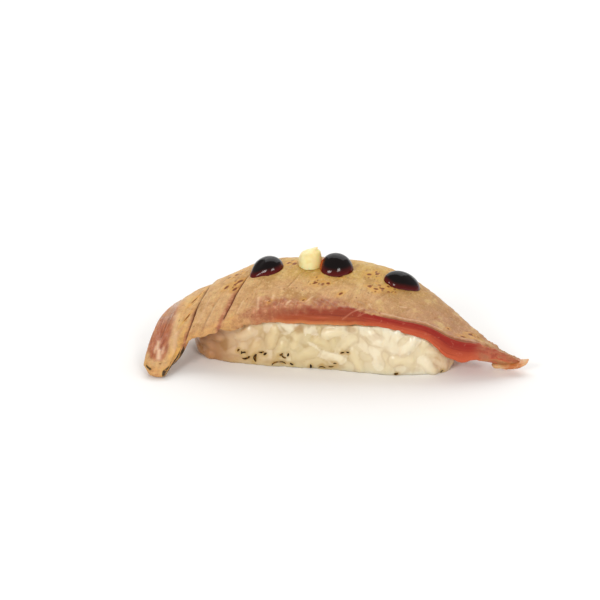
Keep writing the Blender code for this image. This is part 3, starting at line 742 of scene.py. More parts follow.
def searedFish():
    f = Finish("searedFish", Subsurface_Weight=0.18, Subsurface_Scale=0.0018,
               Specular_IOR_Level=0.28, Subsurface_Radius=(1.0, 0.36, 0.18), Coat_Roughness=0.20)
    flat, place = f.along("sliceMap"), f.place()
    raw, low, seam, pinkAndSeamShade, golden = f.masks("raw", "low", "seam", "pinkAndSeamShade", "golden")
    wet, scorch, marked, haloed = f.masks("wet", "scorch", "marked", "haloed")
    thread, freckled = f.masks("thread", "freckled")
    x, way, _ = f.axes(flat)
    broad = f.noise(place, 230, 3)
    mottle = f.noise(place, 800, 3, 0.65)
    grain = f.noise(place, 2600, 3, 0.65)
    fibres = f.noise(f.stretched(flat, (1350, 130, 1), 0.12), 1.0, 3, 0.6)
    ribs = f.noise(f.stretched(flat, (1500, 110, 1)), 1.0, 3, 0.6)
    streaks = f.noise(f.stretched(flat, (90, 1700, 1)), 1.0, 3, 0.6)
    high = (way + 0.006 * (broad - 0.5)).over(0.0050, 0.0125)
    rounded = f.stretched(flat, (1, 0.75, 1))
    dots = f.spots(rounded, 660, (0.18, 0.34), (0.46, 0.52))
    dots = dots.atLeast(f.spots(rounded, 1400, (0.22, 0.46), (0.42, 0.50)) * 0.75) * freckled
    halo = freckled * f.noise(flat, 600, 2).over(0.38, 0.58)
    soaked = f.layered(
        f.blend((168, 96, 62), (132, 58, 38), ribs.over(0.50, 0.62) * 0.85),
        ((212, 144, 110), ribs.under(0.34, 0.44) * 0.75),
        ((160, 114, 68), way.over(0.0110, 0.0160) * 0.75),
    )
    seared = f.layered(
        f.blend((195, 151, 100), (190, 151, 68), high),
        # Lighter towards the left end and darker towards the right end: painted light and painted
        # shade on the seared top.
        ((203, 159, 110), x.under(0.018, 0.034) * 0.85),
        ((160, 103, 62), x.over(0.050, 0.072) * 0.74),
        ((160, 116, 58), broad.over(0.46, 0.66) * 0.60),
        ((208, 176, 110), broad.under(0.30, 0.46) * 0.65),
        ((224, 188, 132), mottle.over(0.52, 0.70) * (0.50 - 0.26 * x.over(0.040, 0.056))),
        ((164, 116, 68), mottle.under(0.32, 0.48) * 0.50),
        ((140, 96, 56), fibres.over(0.52, 0.68) * 0.20),
        ((226, 188, 138), fibres.under(0.32, 0.46) * 0.14),
        ((228, 192, 142), grain.over(0.55, 0.68) * 0.26),
        ((140, 96, 52), grain.under(0.32, 0.45) * 0.26),
        ((222, 172, 92), golden * (0.35 + 0.5 * mottle.over(0.4, 0.6))),
        # The pink layers also paint the shade on the flake's side left of the deep seams.
        ((170, 102, 72), pinkAndSeamShade * (0.50 + 0.40 * fibres.over(0.35, 0.65))),
        ((214, 156, 118), pinkAndSeamShade * mottle.over(0.54, 0.66) * 0.55),
        ((140, 84, 62), pinkAndSeamShade * mottle.under(0.38, 0.50) * 0.45),
        (soaked, wet.over(0.0, 0.85) * 0.85),
        ((210, 154, 60), (halo * 0.60).atLeast(haloed * 0.70)),
        ((116, 50, 4), (dots * 0.90).atLeast(marked.over(0.14, 0.55) * 0.95)),
        ((136, 84, 44), f.spots(flat, 480, (0.06, 0.13), (0.5, 0.6)) * 0.8),
        # Pale threads of flesh, and on the tongue pale strokes that are painted highlights.
        ((240, 206, 170), thread * 0.80),
    )
    # Paler and more orange towards the thin lower edge and rim: partly the flesh's colour, partly
    # painted glow of light through the thin edge.
    deep, drawn = x.over(0.0475, 0.0560), x.over(0.0760, 0.0805)
    upper = f.blend((141, 54, 26), (143, 22, 3), deep)
    lower = f.blend((182, 90, 42), (194, 88, 50), deep)
    rimmed = f.blend((216, 152, 94), (190, 88, 50), deep)
    rim = low.over(0.64, 1.0) * (1 - deep) + low.over(0.78, 1.0) * deep
    flesh = f.layered(
        f.blend(upper, lower, (low + 0.3 * (streaks - 0.5)).over(0.20, 1.0)),
        ((186, 112, 82), drawn * 0.60),
        ((146, 54, 34), drawn * mottle.over(0.46, 0.56) * 0.65),
        (rimmed, rim * 0.80),
        ((186, 88, 62), streaks.over(0.55, 0.70) * 0.40),
        ((110, 20, 10), streaks.under(0.32, 0.46) * 0.55 * (1 - 0.7 * low)),
        ((206, 124, 96), mottle.over(0.60, 0.72) * 0.28),
        ((222, 146, 114), thread * 0.85),
    )
    colour = f.layered(
        seared,
        (flesh, raw),
        ((104, 52, 38), seam.over(0.10, 0.80) * 0.85),
        ((176, 128, 48), scorch * 0.75),
        ((34, 22, 10), scorch.over(0.25, 0.75) * 0.92),
    )
    relief = f.bumps(
        (f.noise(place, 4200, 3, 0.6), 0.00007, 0.6),
        (mottle, 0.00022, 0.5),
        (fibres, 0.00012, 0.35),
        (ribs * wet, 0.00030, 0.5),
        (dots, 0.00012, 0.35),
    )
    rough = 0.54 + 0.16 * (mottle - 0.5) - 0.12 * raw - 0.12 * pinkAndSeamShade - 0.22 * wet
    return f.show(Base_Color=colour, Roughness=rough, Coat_Weight=0.03 + 0.22 * wet + 0.06 * pinkAndSeamShade,
                  Normal=relief)


# Leaf curled under the pointed end

tipLeaf = {
    "rows": (  # x, y, top z, half width, thickness
        (0.0364, -0.0080, 0.0019, 0.0008, 0.0009), (0.0374, -0.0081, 0.0024, 0.0016, 0.0014),
        (0.0392, -0.0082, 0.0026, 0.0019, 0.0016), (0.0412, -0.0082, 0.0027, 0.0018, 0.0016),
        (0.0428, -0.0082, 0.0029, 0.0015, 0.0014), (0.0438, -0.0082, 0.0031, 0.0010, 0.0010),
        (0.0444, -0.0082, 0.0035, 0.0004, 0.0006),
    ),
    "stations": 70,
    "ring": 40,
    "lumps": 0.00008,
}


def buildLeaf(material):
    stations, size = tipLeaf["stations"], tipLeaf["ring"]
    rows = np.array(tipLeaf["rows"])
    share = np.linspace(0, 1, stations)
    table = curveThrough(np.column_stack([np.linspace(0, 1, len(rows)), rows]), share)
    x, y, z, half, thick = (table[:, k:k + 1] for k in range(5))
    angle = np.linspace(0, 2 * math.pi, size, endpoint=False)[None, :]
    blunt = np.sqrt(np.clip(share * 14, 0, 1) * np.clip((1 - share) * 14, 0, 1))[:, None]
    high = z - thick / 2 + thick / 2 * np.sin(angle) * blunt
    ring = spread(x + 0 * angle, y + half * np.cos(angle) * blunt, high)
    ring[:, :, 2] += tipLeaf["lumps"] * layeredField(ring, 0.0012, 91)
    ring[:, :, 2] = np.maximum(ring[:, :, 2], fishSlice["lowest"])
    faces = tubeFaces(stations, size) + flatEnds(stations, size)
    return newPiece("tipLeaf", ring.reshape(-1, 3), faces, material)


def leafFinish():
    f = Finish("leafFlesh", Subsurface_Weight=0.25, Subsurface_Scale=0.0015)
    place = f.place()
    middle = f.noise(place, 420, 2)
    x, _, _ = f.axes(place)
    browned = x.over(0.0380, 0.0400) * x.under(0.0418, 0.0438)
    browned = browned * (0.4 + 0.6 * middle.over(0.35, 0.55))
    colour = f.blend((208, 164, 116), (184, 104, 44), browned)
    colour = f.blend(colour, (218, 176, 128), f.noise(place, 900, 2).over(0.58, 0.72) * 0.5)
    return f.show(Base_Color=colour, Roughness=0.42 + 0.1 * (middle - 0.5),
                  Normal=f.bumps((f.noise(place, 2600, 3), 0.0001, 0.5)))


# Rice: a filling under the fish, and single grains pressed into it and into each other

rice = {
    "length": 0.0574,
    "width": 0.0242,
    "centreX": -0.0003,
    "squareness": 3.6,        # 2 is an oval, more is squarer
    "squareRight": 7.0,
    "bulge": 0.0015,
    "bulgeX": 0.0150,
    "bulgeReach": 0.0090,
    "profile": (              # x and height where no fish lies above
        (-0.0300, 0.0075), (-0.0240, 0.0110), (-0.0120, 0.0165), (0.0000, 0.0190),
        (0.0120, 0.0165), (0.0210, 0.0100), (0.0290, 0.0042),
    ),
    "shoulder": 0.38,
    "probe": 0.0017,
    "fillingProbe": 0.0007,
    "restGap": 0.0001,
    "proud": 0.0016,
    "filled": 0.0006,         # how far in from the outside the gaps between grains are filled
    "coreSides": 260,
    "coreSideRows": 26,
    "coreTopRows": 30,
    "lumps": 0.00030,
    "voxel": 0.00027,
    "softening": 3,
    "flatAt": 0.00001,
}
riceGrain = {
    "length": 0.0066,
    "width": 0.0031,
    "sizeLow": 0.86,
    "sizeHigh": 1.12,
    "layers": (  # spacing between the middle lines of grains, and how far they stand out
        (0.00215, 0.00010), (0.00205, -0.00025), (0.00195, -0.00055),
    ),
    "shapes": (  # bend, taper, flatness, and where it is broken off
        (0.02, 0.05, 0.94, 1.0), (-0.04, -0.08, 0.90, 1.0), (0.06, 0.10, 1.00, 1.0),
        (0.00, -0.04, 0.86, 1.0), (0.04, 0.12, 0.95, 0.66), (-0.02, 0.06, 1.04, 1.0),
        (0.03, -0.12, 0.98, 0.80), (-0.06, 0.02, 0.92, 1.0),
    ),
    "turn": math.radians(58),
    "upright": 0.22,          # share of grains turned a further quarter
    "tilt": math.radians(9),
    "intoFish": 0.0011,
    "leftEndOut": 0.0010,
    "topSpacing": 0.0030,
    "tries": 2600,
    "topTries": 2500,
    "seed": 11,
    "segments": 14,
    "rings": 11,
}
# Brown patches painted on the front of the rice: x, height, half width, half height, strength
riceBrownPatches = (
    (-0.0052, 0.0094, 0.0011, 0.0012, 0.8), (0.0062, 0.0100, 0.0011, 0.0008, 0.7),
    (-0.0216, 0.0040, 0.0010, 0.0015, 0.9), (-0.0016, 0.0080, 0.0009, 0.0012, 0.35),
    (0.0115, 0.0088, 0.0015, 0.0009, 0.40), (-0.0140, 0.0062, 0.0012, 0.0008, 0.30),
    (-0.0100, 0.0012, 0.0030, 0.0006, 0.45), (0.0020, 0.0008, 0.0030, 0.0005, 0.50),
)
charSpecks = {
    "places": (  # x, height, length, turn, width
        (-0.0184, 0.0034, 0.0007, 0.9, 0.00049), (-0.0176, 0.0029, 0.0007, 1.4, 0.00052),
        (-0.0171, 0.0030, 0.0007, 0.2, 0.00049), (-0.0166, 0.0015, 0.0018, 0.4, 0.00067),
        (-0.0148, 0.0018, 0.0019, 1.5, 0.00081), (-0.0133, 0.0032, 0.0011, 0.1, 0.00052),
        (-0.0125, 0.0029, 0.0008, 0.7, 0.00061), (-0.0089, 0.0030, 0.0008, 0.6, 0.00052),
        (-0.0084, 0.0024, 0.0011, 2.6, 0.00049), (-0.0074, 0.0030, 0.0007, 1.3, 0.00052),
        (-0.0104, 0.0010, 0.0017, 0.5, 0.00038), (-0.0086, 0.0012, 0.0015, 2.9, 0.00035),
        (-0.0067, 0.0008, 0.0008, 2.6, 0.00055), (-0.0024, 0.0006, 0.0011, 1.5, 0.00064),
        (0.0000, 0.0007, 0.0015, 0.0, 0.00035), (0.0020, 0.0008, 0.0011, 0.1, 0.00032),
        (0.0044, 0.0044, 0.0008, 0.3, 0.00058), (0.0056, 0.0045, 0.0007, 0.0, 0.00038),
        (0.0028, 0.0017, 0.0007, 0.0, 0.00041), (0.0162, 0.0004, 0.0009, 0.3, 0.00064),
        (0.0258, 0.0005, 0.0007, 0.8, 0.00030),
    ),
    "thick": 0.00008,
    "slim": 0.84,
    "curl": 0.16,
    "steps": 7,
    "sides": 6,
    "lowest": 0.0002,
}


def riceOutline(inset):
    halfLength, halfWidth = rice["length"] / 2 - inset, rice["width"] / 2 - inset
    t = np.linspace(0, 2 * math.pi, rice["coreSides"], endpoint=False)
    angle = np.arctan2(halfWidth * np.sin(t), halfLength * np.cos(t))
    n = np.where(np.cos(angle) > 0, rice["squareRight"], rice["squareness"])
    powers = (np.abs(np.cos(angle)) / halfLength) ** n + (np.abs(np.sin(angle)) / halfWidth) ** n
    reach = powers ** (-1 / n)
    x = reach * np.cos(angle) + rice["centreX"]
    y = reach * np.sin(angle)
    y -= np.where(y < 0, rice["bulge"] * bell(x - rice["bulgeX"], rice["bulgeReach"]), 0)
    return np.stack([x, y], axis=1)


def heightUnderFish(fish, x, y):
    table = np.array(rice["profile"])
    across = min(1, abs(y) / (rice["width"] / 2))
    height = float(np.interp(x, table[:, 0], table[:, 1])) * (1 - rice["shoulder"] * across**3)
    return min([height] + [z - rice["restGap"] for z in hitsAbove(fish, x, y, rice["probe"])])


def fillingHeight(fish, x, y):  # right up to the fish where it lies over the rice
    heights = hitsAbove(fish, x, y, rice["fillingProbe"])
    return min(heights) - rice["restGap"] if heights else heightUnderFish(fish, x, y)


def buildFilling(fish, material):
    outline = riceOutline(rice["filled"])
    centre = np.array([rice["centreX"], 0])
    sides, sideRows, topRows = len(outline), rice["coreSideRows"], rice["coreTopRows"]
    tops = np.array([fillingHeight(fish, x, y) for x, y in outline])
    points = [(*centre, 0.0)]
    for row in range(sideRows):
        points += [(x, y, z * row / (sideRows - 1)) for (x, y), z in zip(outline, tops)]
    for row in range(1, topRows):
        inner = centre + (outline - centre) * (1 - row / topRows)
        points += [(x, y, fillingHeight(fish, x, y)) for x, y in inner]
    points.append((*centre, fillingHeight(fish, *centre)))
    points = np.array(points)
    lump = rice["lumps"] * layeredField(points, 0.0022, 101)
    onSide, onTop = slice(1, 1 + sides * sideRows), slice(1 + sides * sideRows, None)
    points[onSide, :2] += unit(points[onSide, :2] - centre) * lump[onSide, None]
    points[onTop, 2] -= np.abs(lump[onTop])
    return newPiece("riceFilling", points, capsuleFaces(sideRows + topRows - 1, sides), material)


def roomAt(fish, x, y, nx, ny):  # how high grains may reach at one place on the side
    hits = []
    for out in (0, 0.5, 1.0):
        probe = Vector((x + nx * rice["proud"] * out, y + ny * rice["proud"] * out, -0.01))
        hits.append(fish.ray_cast(probe, Vector((0, 0, 1)))[0])
    heights = [hit.z for hit in hits if hit]
    return min(heights) + riceGrain["intoFish"] if heights else heightUnderFish(fish, x, y)


def grainSteps():  # places along the middle line of a grain
    return np.linspace(-1, 1, 7) * (riceGrain["length"] - riceGrain["width"]) / 2


def packGrains(around, room, spacing, random):
    # Lays grains at random on the unrolled side, none nearer to another than the spacing
    radius, steps = riceGrain["width"] / 2, grainSteps()[:, None]
    lines, laid = np.zeros((0, len(steps), 2)), []
    for _ in range(riceGrain["tries"]):
        s = random.uniform(0, around)
        turn = random.normal(0, riceGrain["turn"])
        if random.random() < riceGrain["upright"]:
            turn += math.pi / 2
        tall = abs(math.sin(turn)) * steps.max()
        top = room(s) - radius - tall
        bottom = radius * 0.75 + tall * 0.8
        if top < radius * 0.3:
            continue
        z = random.uniform(min(bottom, top), top)
        line = np.array([s, z]) + steps * np.array([math.cos(turn), math.sin(turn)])
        if len(laid):
            gap = lines[:, :, None, :] - line[None, None, :, :]
            gap[..., 0] = (gap[..., 0] + around / 2) % around - around / 2
            if (gap**2).sum(axis=-1).min() < spacing**2:
                continue
        laid.append((s, z, turn))
        lines = np.concatenate([lines, line[None]])
    return laid


def grainKinds():
    kinds = bpy.data.collections.new("grainKinds")
    segments, rings = riceGrain["segments"], riceGrain["rings"]
    turn = np.linspace(0, 2 * math.pi, segments, endpoint=False)
    rows = np.sin(np.linspace(-1, 1, rings + 2)[1:-1] * math.pi / 2 * 0.97)
    for number, (bend, taperShare, flat, cut) in enumerate(riceGrain["shapes"]):
        points = [(-0.5, bend, 0.0)]
        for t in rows:
            wide = 0.5 * (1 - abs(t) ** 2.6) ** 0.42 * (1 + taperShare * t)
            if t > cut:
                wide *= 0.8 * (1 - (t - cut) / (1 - cut)) + 0.2
            x, middle = 0.5 * min(t, cut), bend * t * t
            points += [(x, wide * math.cos(a) + middle, wide * math.sin(a) * flat) for a in turn]
        points = np.array(points + [(0.5 * cut, bend, 0.0)])
        stretched = points * np.array([1.6, 1, 1])
        swell = 0.16 * softField(stretched + 3.7 * number, 0.42, 7)
        dents = 0.08 * softField(stretched + 5.3 * number, 0.20, 8)
        points[:, 1:] *= (1 + swell + dents)[:, None]
        grain = newPiece(f"grainKind{number}", points, capsuleFaces(rings, segments), None)
        bpy.context.scene.collection.objects.unlink(grain)
        kinds.objects.link(grain)
    return kinds


def grainTree(kinds, material):
    tree = bpy.data.node_groups.new("layGrains", "GeometryNodeTree")
    tree.interface.new_socket("Places", in_out="INPUT", socket_type="NodeSocketGeometry")
    for name in ("Grain length", "Grain width", "Smallest", "Largest"):
        tree.interface.new_socket(name, in_out="INPUT", socket_type="NodeSocketFloat")
    tree.interface.new_socket("Seed", in_out="INPUT", socket_type="NodeSocketInt")
    tree.interface.new_socket("Grains", in_out="OUTPUT", socket_type="NodeSocketGeometry")

    def node(kind, inputs=None, output=0, **settings):
        new = tree.nodes.new(kind)
        for name, value in settings.items():
            setattr(new, name, value)
        for name, value in (inputs or {}).items():
            if isinstance(value, bpy.types.NodeSocket):
                tree.links.new(value, new.inputs[name])
            else:
                new.inputs[name].default_value = value
        return new.outputs[output] if len(new.outputs) else new

    given = node("NodeGroupInput").node.outputs
    shapes = node("GeometryNodeCollectionInfo", {"Collection": kinds, "Separate Children": True})
    lay = node("GeometryNodeInputNamedAttribute", {"Name": "lay"}, data_type="FLOAT_VECTOR")
    random = "FunctionNodeRandomValue"
    limits = {2: given["Smallest"], 3: given["Largest"], "Seed": given["Seed"]}
    size = node(random, limits, 1, data_type="FLOAT")
    which = node(random, {4: 0, 5: len(kinds.objects) - 1, "Seed": 3}, 2, data_type="INT")
    tone = node(random, {2: 0.0, 3: 1.0, "Seed": 8}, 1, data_type="FLOAT")
    width = given["Grain width"]
    measures = node("ShaderNodeCombineXYZ", {0: given["Grain length"], 1: width, 2: width})
    laid = node("GeometryNodeInstanceOnPoints", {
        "Points": given["Places"],
        "Instance": shapes,
        "Pick Instance": True,
        "Instance Index": which,
        "Rotation": node("FunctionNodeEulerToRotation", {0: lay}),
        "Scale": node("ShaderNodeVectorMath", {0: measures, "Scale": size}, operation="SCALE"),
    })
    toned = {"Geometry": laid, "Name": "tone", "Value": tone}
    stored = node("GeometryNodeStoreNamedAttribute", toned, data_type="FLOAT", domain="INSTANCE")
    real = node("GeometryNodeRealizeInstances", {"Geometry": stored})
    finished = node("GeometryNodeSetMaterial", {"Geometry": real, "Material": material})
    node("NodeGroupOutput", {0: finished})
    return tree


def setInputs(modifier, **values):
    for item in modifier.node_group.interface.items_tree:
        name = item.name.replace(" ", "_")
        if name in values and item.in_out == "INPUT":
            modifier[item.identifier] = values[name]


def plainMesh(piece, name):  # the evaluated shape as a mesh without modifiers, under its own name
    bpy.context.view_layer.update()
    graph = bpy.context.evaluated_depsgraph_get()
    plain = inScene(name, bpy.data.meshes.new_from_object(piece.evaluated_get(graph)))
    bpy.data.objects.remove(piece, do_unlink=True)
    return plain


def grainPlaces(fish):
    outline = riceOutline(rice["proud"])
    following = np.roll(outline, -1, axis=0)
    lengths = np.linalg.norm(following - outline, axis=1)
    ends = np.concatenate([[0], np.cumsum(lengths)])
    normals = unit(np.stack([following[:, 1] - outline[:, 1],
                             outline[:, 0] - following[:, 0]], axis=1))
    rooms = np.array([roomAt(fish, *p, *n) for p, n in zip(outline, normals)])
    random = np.random.default_rng(riceGrain["seed"])
    around = ends[-1]
    middles = (ends[:-1] + ends[1:]) / 2
    room = lambda s: float(np.interp(s, middles, rooms, period=around))
    places, lays = [], []
    for spacing, out in riceGrain["layers"]:
        for s, z, turn in packGrains(around, room, spacing, random):
            i = min(int(np.searchsorted(ends, s, side="right")) - 1, len(outline) - 1)
            share = (s - ends[i]) / lengths[i]
            x, y = outline[i] + (following[i] - outline[i]) * share
            normal = Vector((*normals[i], 0))
            tangent = Vector((-normal.y, normal.x, 0))
            axis = tangent * math.cos(turn) + Vector((0, 0, 1)) * math.sin(turn)
            tip = random.uniform(-riceGrain["tilt"], riceGrain["tilt"])
            axis = (axis + normal * math.tan(tip)).normalized()
            outward = (normal - axis * normal.dot(axis)).normalized()
            basis = Matrix((axis, outward.cross(axis), outward)).transposed()
            roll = Matrix.Rotation(random.uniform(-0.5, 0.5), 3, "X")
            lift = out + riceGrain["leftEndOut"] * max(0, -normal.x) ** 2
            places.append(Vector((x, y, z)) + normal * lift)
            lays.append((basis @ roll).to_euler())
    for place, lay in topPlaces(fish, random):
        places.append(place)
        lays.append(lay)
    return places, lays


def topPlaces(fish, random):  # grains on the small part of the top that no fish covers
    found = []
    halfLength, halfWidth, n = rice["length"] / 2, rice["width"] / 2, rice["squareness"]
    near = (-0.0015, 0.0015)
    for _ in range(riceGrain["topTries"]):
        x = random.uniform(-halfLength, halfLength) + rice["centreX"]
        y = random.uniform(-halfWidth, halfWidth)
        turn = random.uniform(0, math.pi)
        inside = (abs(x - rice["centreX"]) / (halfLength - rice["proud"])) ** n
        inside += (abs(y) / (halfWidth - rice["proud"])) ** n
        probes = [Vector((x + dx, y + dy, -0.01)) for dx in near for dy in near]
        if inside > 1 or any(fish.ray_cast(probe, Vector((0, 0, 1)))[0] for probe in probes):
            continue
        place = Vector((x, y, heightUnderFish(fish, x, y) + riceGrain["layers"][0][1]))
        if all((place - other).length > riceGrain["topSpacing"] for other, _ in found):
            found.append((place, Euler((0, 0, turn))))
    return found


def layGrains(places, lays, material):
    kinds = grainKinds()
    mesh = bpy.data.meshes.new("grainPlaces")
    mesh.from_pydata([tuple(p) for p in places], [], [])
    stored = mesh.attributes.new("lay", "FLOAT_VECTOR", "POINT")
    stored.data.foreach_set("vector", np.array(lays, np.float32).ravel())
    holder = inScene("grainPlaces", mesh)
    lay = holder.modifiers.new("layGrains", "NODES")
    lay.node_group = grainTree(kinds, material)
    setInputs(lay, Grain_length=riceGrain["length"], Grain_width=riceGrain["width"],
              Smallest=riceGrain["sizeLow"], Largest=riceGrain["sizeHigh"], Seed=riceGrain["seed"])
    grains = plainMesh(holder, "looseGrains")
    for grain in list(kinds.objects):
        bpy.data.objects.remove(grain, do_unlink=True)
    bpy.data.collections.remove(kinds)
    return grains


def buildRice(fish, material):
    places, lays = grainPlaces(fish)
    grains = layGrains(places, lays, material)
    filling = buildFilling(fish, material)
    work = bmesh.new()
    work.from_mesh(grains.data)
    work.from_mesh(filling.data)
    work.to_mesh(grains.data)
    work.free()
    bpy.data.objects.remove(filling, do_unlink=True)
    press = grains.modifiers.new("press", "REMESH")
    press.mode = "VOXEL"
    press.voxel_size = rice["voxel"]
    soften = grains.modifiers.new("soften", "SMOOTH")
    soften.factor = 0.5
    soften.iterations = rice["softening"]
    block = plainMesh(grains, "pressedRice")
    block.data.materials.clear()
    block.data.materials.append(material)
    for v in block.data.vertices:  # flat where it stands on the table
        v.co.z = max(v.co.z, rice["flatAt"])
    block.data.shade_smooth()
    paintGrains(block, places, lays)
    print("grains laid:", len(places), "faces of the pressed block:", len(block.data.polygons))
    return block


def paintGrains(block, places, lays):
    # Each point takes the tone of its nearest grain, and gets painted shade in a crevice where two
    # are as near
    random = np.random.default_rng(riceGrain["seed"] + 1)
    tones = random.uniform(0, 1, len(places))
    steps = grainSteps()
    tree = KDTree(len(places) * len(steps))
    for number, (place, lay) in enumerate(zip(places, lays)):
        along = lay.to_matrix() @ Vector((1, 0, 0))
        for k, reach in enumerate(steps):
            tree.insert(place + along * reach, number * len(steps) + k)
    tree.balance()
    tone, creviceShade = [], []
    for v in block.data.vertices:
        near = tree.find_n(v.co, 9)
        first = near[0][1] // len(steps)
        rival = next((far for _, index, far in near if index // len(steps) != first), 0.005)
        tone.append(tones[first])
        apart = (rival - near[0][2]) / 0.0007
        creviceShade.append(1 - min(1, apart) + 0.6 * max(0, near[0][2] - 0.0016) / 0.0006)
    x, y, z = np.array([v.co for v in block.data.vertices]).T
    ragged = 1 + 0.45 * softField(spread(x, y, z), 0.0011, 83)
    brownPatch, toast = np.zeros(len(x)), np.zeros(len(x))
    for at, high, wide, tall, strength in riceBrownPatches:
        away = np.hypot((x - at) / wide, (z - high) / tall) * ragged
        brownPatch = np.maximum(brownPatch, strength * (1 - step(0.6, 1.3, away)) * (y < 0))
    for at, high, length, turn, width in charSpecks["places"]:
        along, aside = turned(x - at, z - high, turn)
        away = np.hypot(along / (0.5 * length + 0.00045), aside / (0.5 * width + 0.00035)) * ragged
        toast = np.maximum(toast, (1 - step(0.5, 1.3, away)) * (y < 0))
    creviceShade = np.clip(creviceShade, 0, 1)
    masks = {"tone": tone, "creviceShade": creviceShade, "brownPatch": brownPatch, "toast": toast}
    for name, values in masks.items():
        paint(block, name, values)


def cookedRice():
    f = Finish("cookedRice", Subsurface_Weight=0.85, Subsurface_Scale=0.0030,
               Specular_IOR_Level=0.40, Subsurface_Radius=(1.0, 0.90, 0.72), Coat_Roughness=0.14)
    place = f.place()
    tone, creviceShade, brownPatch, toast = f.masks("tone", "creviceShade", "brownPatch", "toast")
    cloud = f.noise(place, 330, 2)
    x, y, z = f.axes(place)
    wander = 0.004 * (cloud - 0.5)
    ahead = 1 - (y + wander).over(-0.0040, 0.0090) * 0.75
    colour = f.layered(
        f.blend((219, 202, 162), (231, 219, 190), tone.over(0.30, 0.90)),
        ((208, 190, 144), tone.under(0.0, 0.40) * 0.42),
        ((208, 184, 138), cloud.over(0.50, 0.68) * 0.50),
        # Painted shade in the crevices between grains.
        ((180, 150, 98), creviceShade.over(0.55, 1.0) * cloud.over(0.42, 0.60) * 0.50),
        ((206, 182, 136), z.under(0.0004, 0.0036) * x.under(0.0, 0.010) * 0.6),
        ((240, 231, 210), x.over(0.002, 0.012) * x.under(0.020, 0.026) * 0.30),
        # Browner towards the left end, on the front only: painted shadow of the fish's tongue.
        ((204, 166, 118), (x + wander).under(-0.0190, -0.0060) * ahead * 0.65),
        ((166, 112, 66), (x + wander).under(-0.0240, -0.0170) * ahead * 0.80),
        ((222, 184, 138), (x + wander).over(0.0205, 0.0280) * 0.50),
        ((156, 108, 46), brownPatch * 0.60),
        ((196, 158, 78), toast * 0.55),
    )
    relief = f.bumps((cloud, 0.00020, 0.5), (f.noise(place, 2400, 2), 0.00004, 0.5))
    return f.show(Base_Color=colour, Roughness=0.30 + 0.16 * (cloud - 0.5), Coat_Weight=0.32,
                  Normal=relief)


def buildSpecks(block, material):  # flat flecks of char that follow the rice's front
    facts, skin = charSpecks, treeOf(block)
    sides = facts["sides"]
    points, faces = [], []
    for number, (x, z, length, turn, width) in enumerate(facts["places"]):
        trail = []
        for k in range(facts["steps"]):
            along = (k / (facts["steps"] - 1) - 0.5) * length
            curl = facts["curl"] * length * (2 * along / length) ** 2 * (1 if number % 2 else -1)
            px = x + along * math.cos(turn) - curl * math.sin(turn)
            pz = max(facts["lowest"], z + along * math.sin(turn) + curl * math.cos(turn))
            hit, normal, _, _ = skin.ray_cast(Vector((px, -0.03, pz)), Vector((0, 1, 0)))
            if hit:
                trail.append((hit, normal))
        if len(trail) < 3:
            continue
        rings, first = len(trail), len(points)
        for k, (at, normal) in enumerate(trail):
            ahead = trail[min(k + 1, rings - 1)][0] - trail[max(k - 1, 0)][0]
            side = normal.cross(ahead).normalized()
            wide = facts["slim"] * width / 2 * math.sin(math.pi * (k + 0.6) / (rings + 0.2)) ** 0.6
            for a in range(sides):
                swing = 2 * math.pi * a / sides
                lift = facts["thick"] * (0.3 + math.sin(swing))
                points.append(at + side * wide * math.cos(swing) + normal * lift)
        faces += tubeFaces(rings, sides, first) + flatEnds(rings, sides, first)
    return newPiece("charSpecks", [tuple(p) for p in points], faces, material)


def charFinish():
    f = Finish("charredFlecks", Specular_IOR_Level=0.15)
    tone = f.noise(f.place(), 1800, 2)
    colour = f.blend((40, 24, 6), (132, 88, 28), tone.over(0.50, 0.64))
    return f.show(Base_Color=colour, Roughness=0.5 + 0.2 * (tone - 0.5))


# Sauce drops and the cream bead

sauceDrops = {  # lobes of an outline are (angle, size, width)
    "sauceDropLeft": {
        "node": "sauce_drop_left",
        "at": (-0.0133, -0.0012), "half": (0.0036, 0.0031), "height": 0.0024, "turn": -0.25,
        "lobes": ((4.2, 0.30, 0.36), (0.9, 0.05, 0.6)),
    },
    "sauceDropMiddle": {
        "node": "sauce_drop_middle",
        "at": (0.0019, -0.0006), "half": (0.0037, 0.0033), "height": 0.0029, "turn": 0.0,
        "lobes": ((4.1, 0.12, 0.5), (5.6, -0.04, 0.5)),
    },
    "sauceDropRight": {
        "node": "sauce_drop_right",
        "at": (0.0163, -0.0002), "half": (0.0043, 0.0023), "height": 0.0023, "turn": 0.55,
        "lobes": ((4.0, 0.12, 0.4), (5.3, 0.10, 0.4)),
    },
}
sauce = {"rings": 46, "sides": 110, "rim": 0.00010, "sit": 0.00003, "crawl": 0.035, "seed": 200}
creamBead = {
    "node": "cream_bead",
    "at": (-0.0041, 0.0001),
    "half": (0.0025, 0.0024),
    "height": 0.0029,
    "rings": 48,
    "sides": 96,
    "slant": 0.20,            # rise of the top from left to right
    "peak": 0.0007,
    "peakLean": (0.0018, 0.0003),
    "swirl": 0.00007,
    "stained": 0.0026,        # how far from its middle it tints the sauce
}


def polar(facts):
    reach = np.sin(np.linspace(0, 1, facts["rings"] + 1)[1:] * math.pi / 2)
    angle = np.linspace(0, 2 * math.pi, facts["sides"], endpoint=False)
    return reach[:, None], angle[None, :]


def onFish(fish, x, y):
    return fish.ray_cast(Vector((x, y, 0.05)), Vector((0, 0, -1)))[0].z + sauce["sit"]


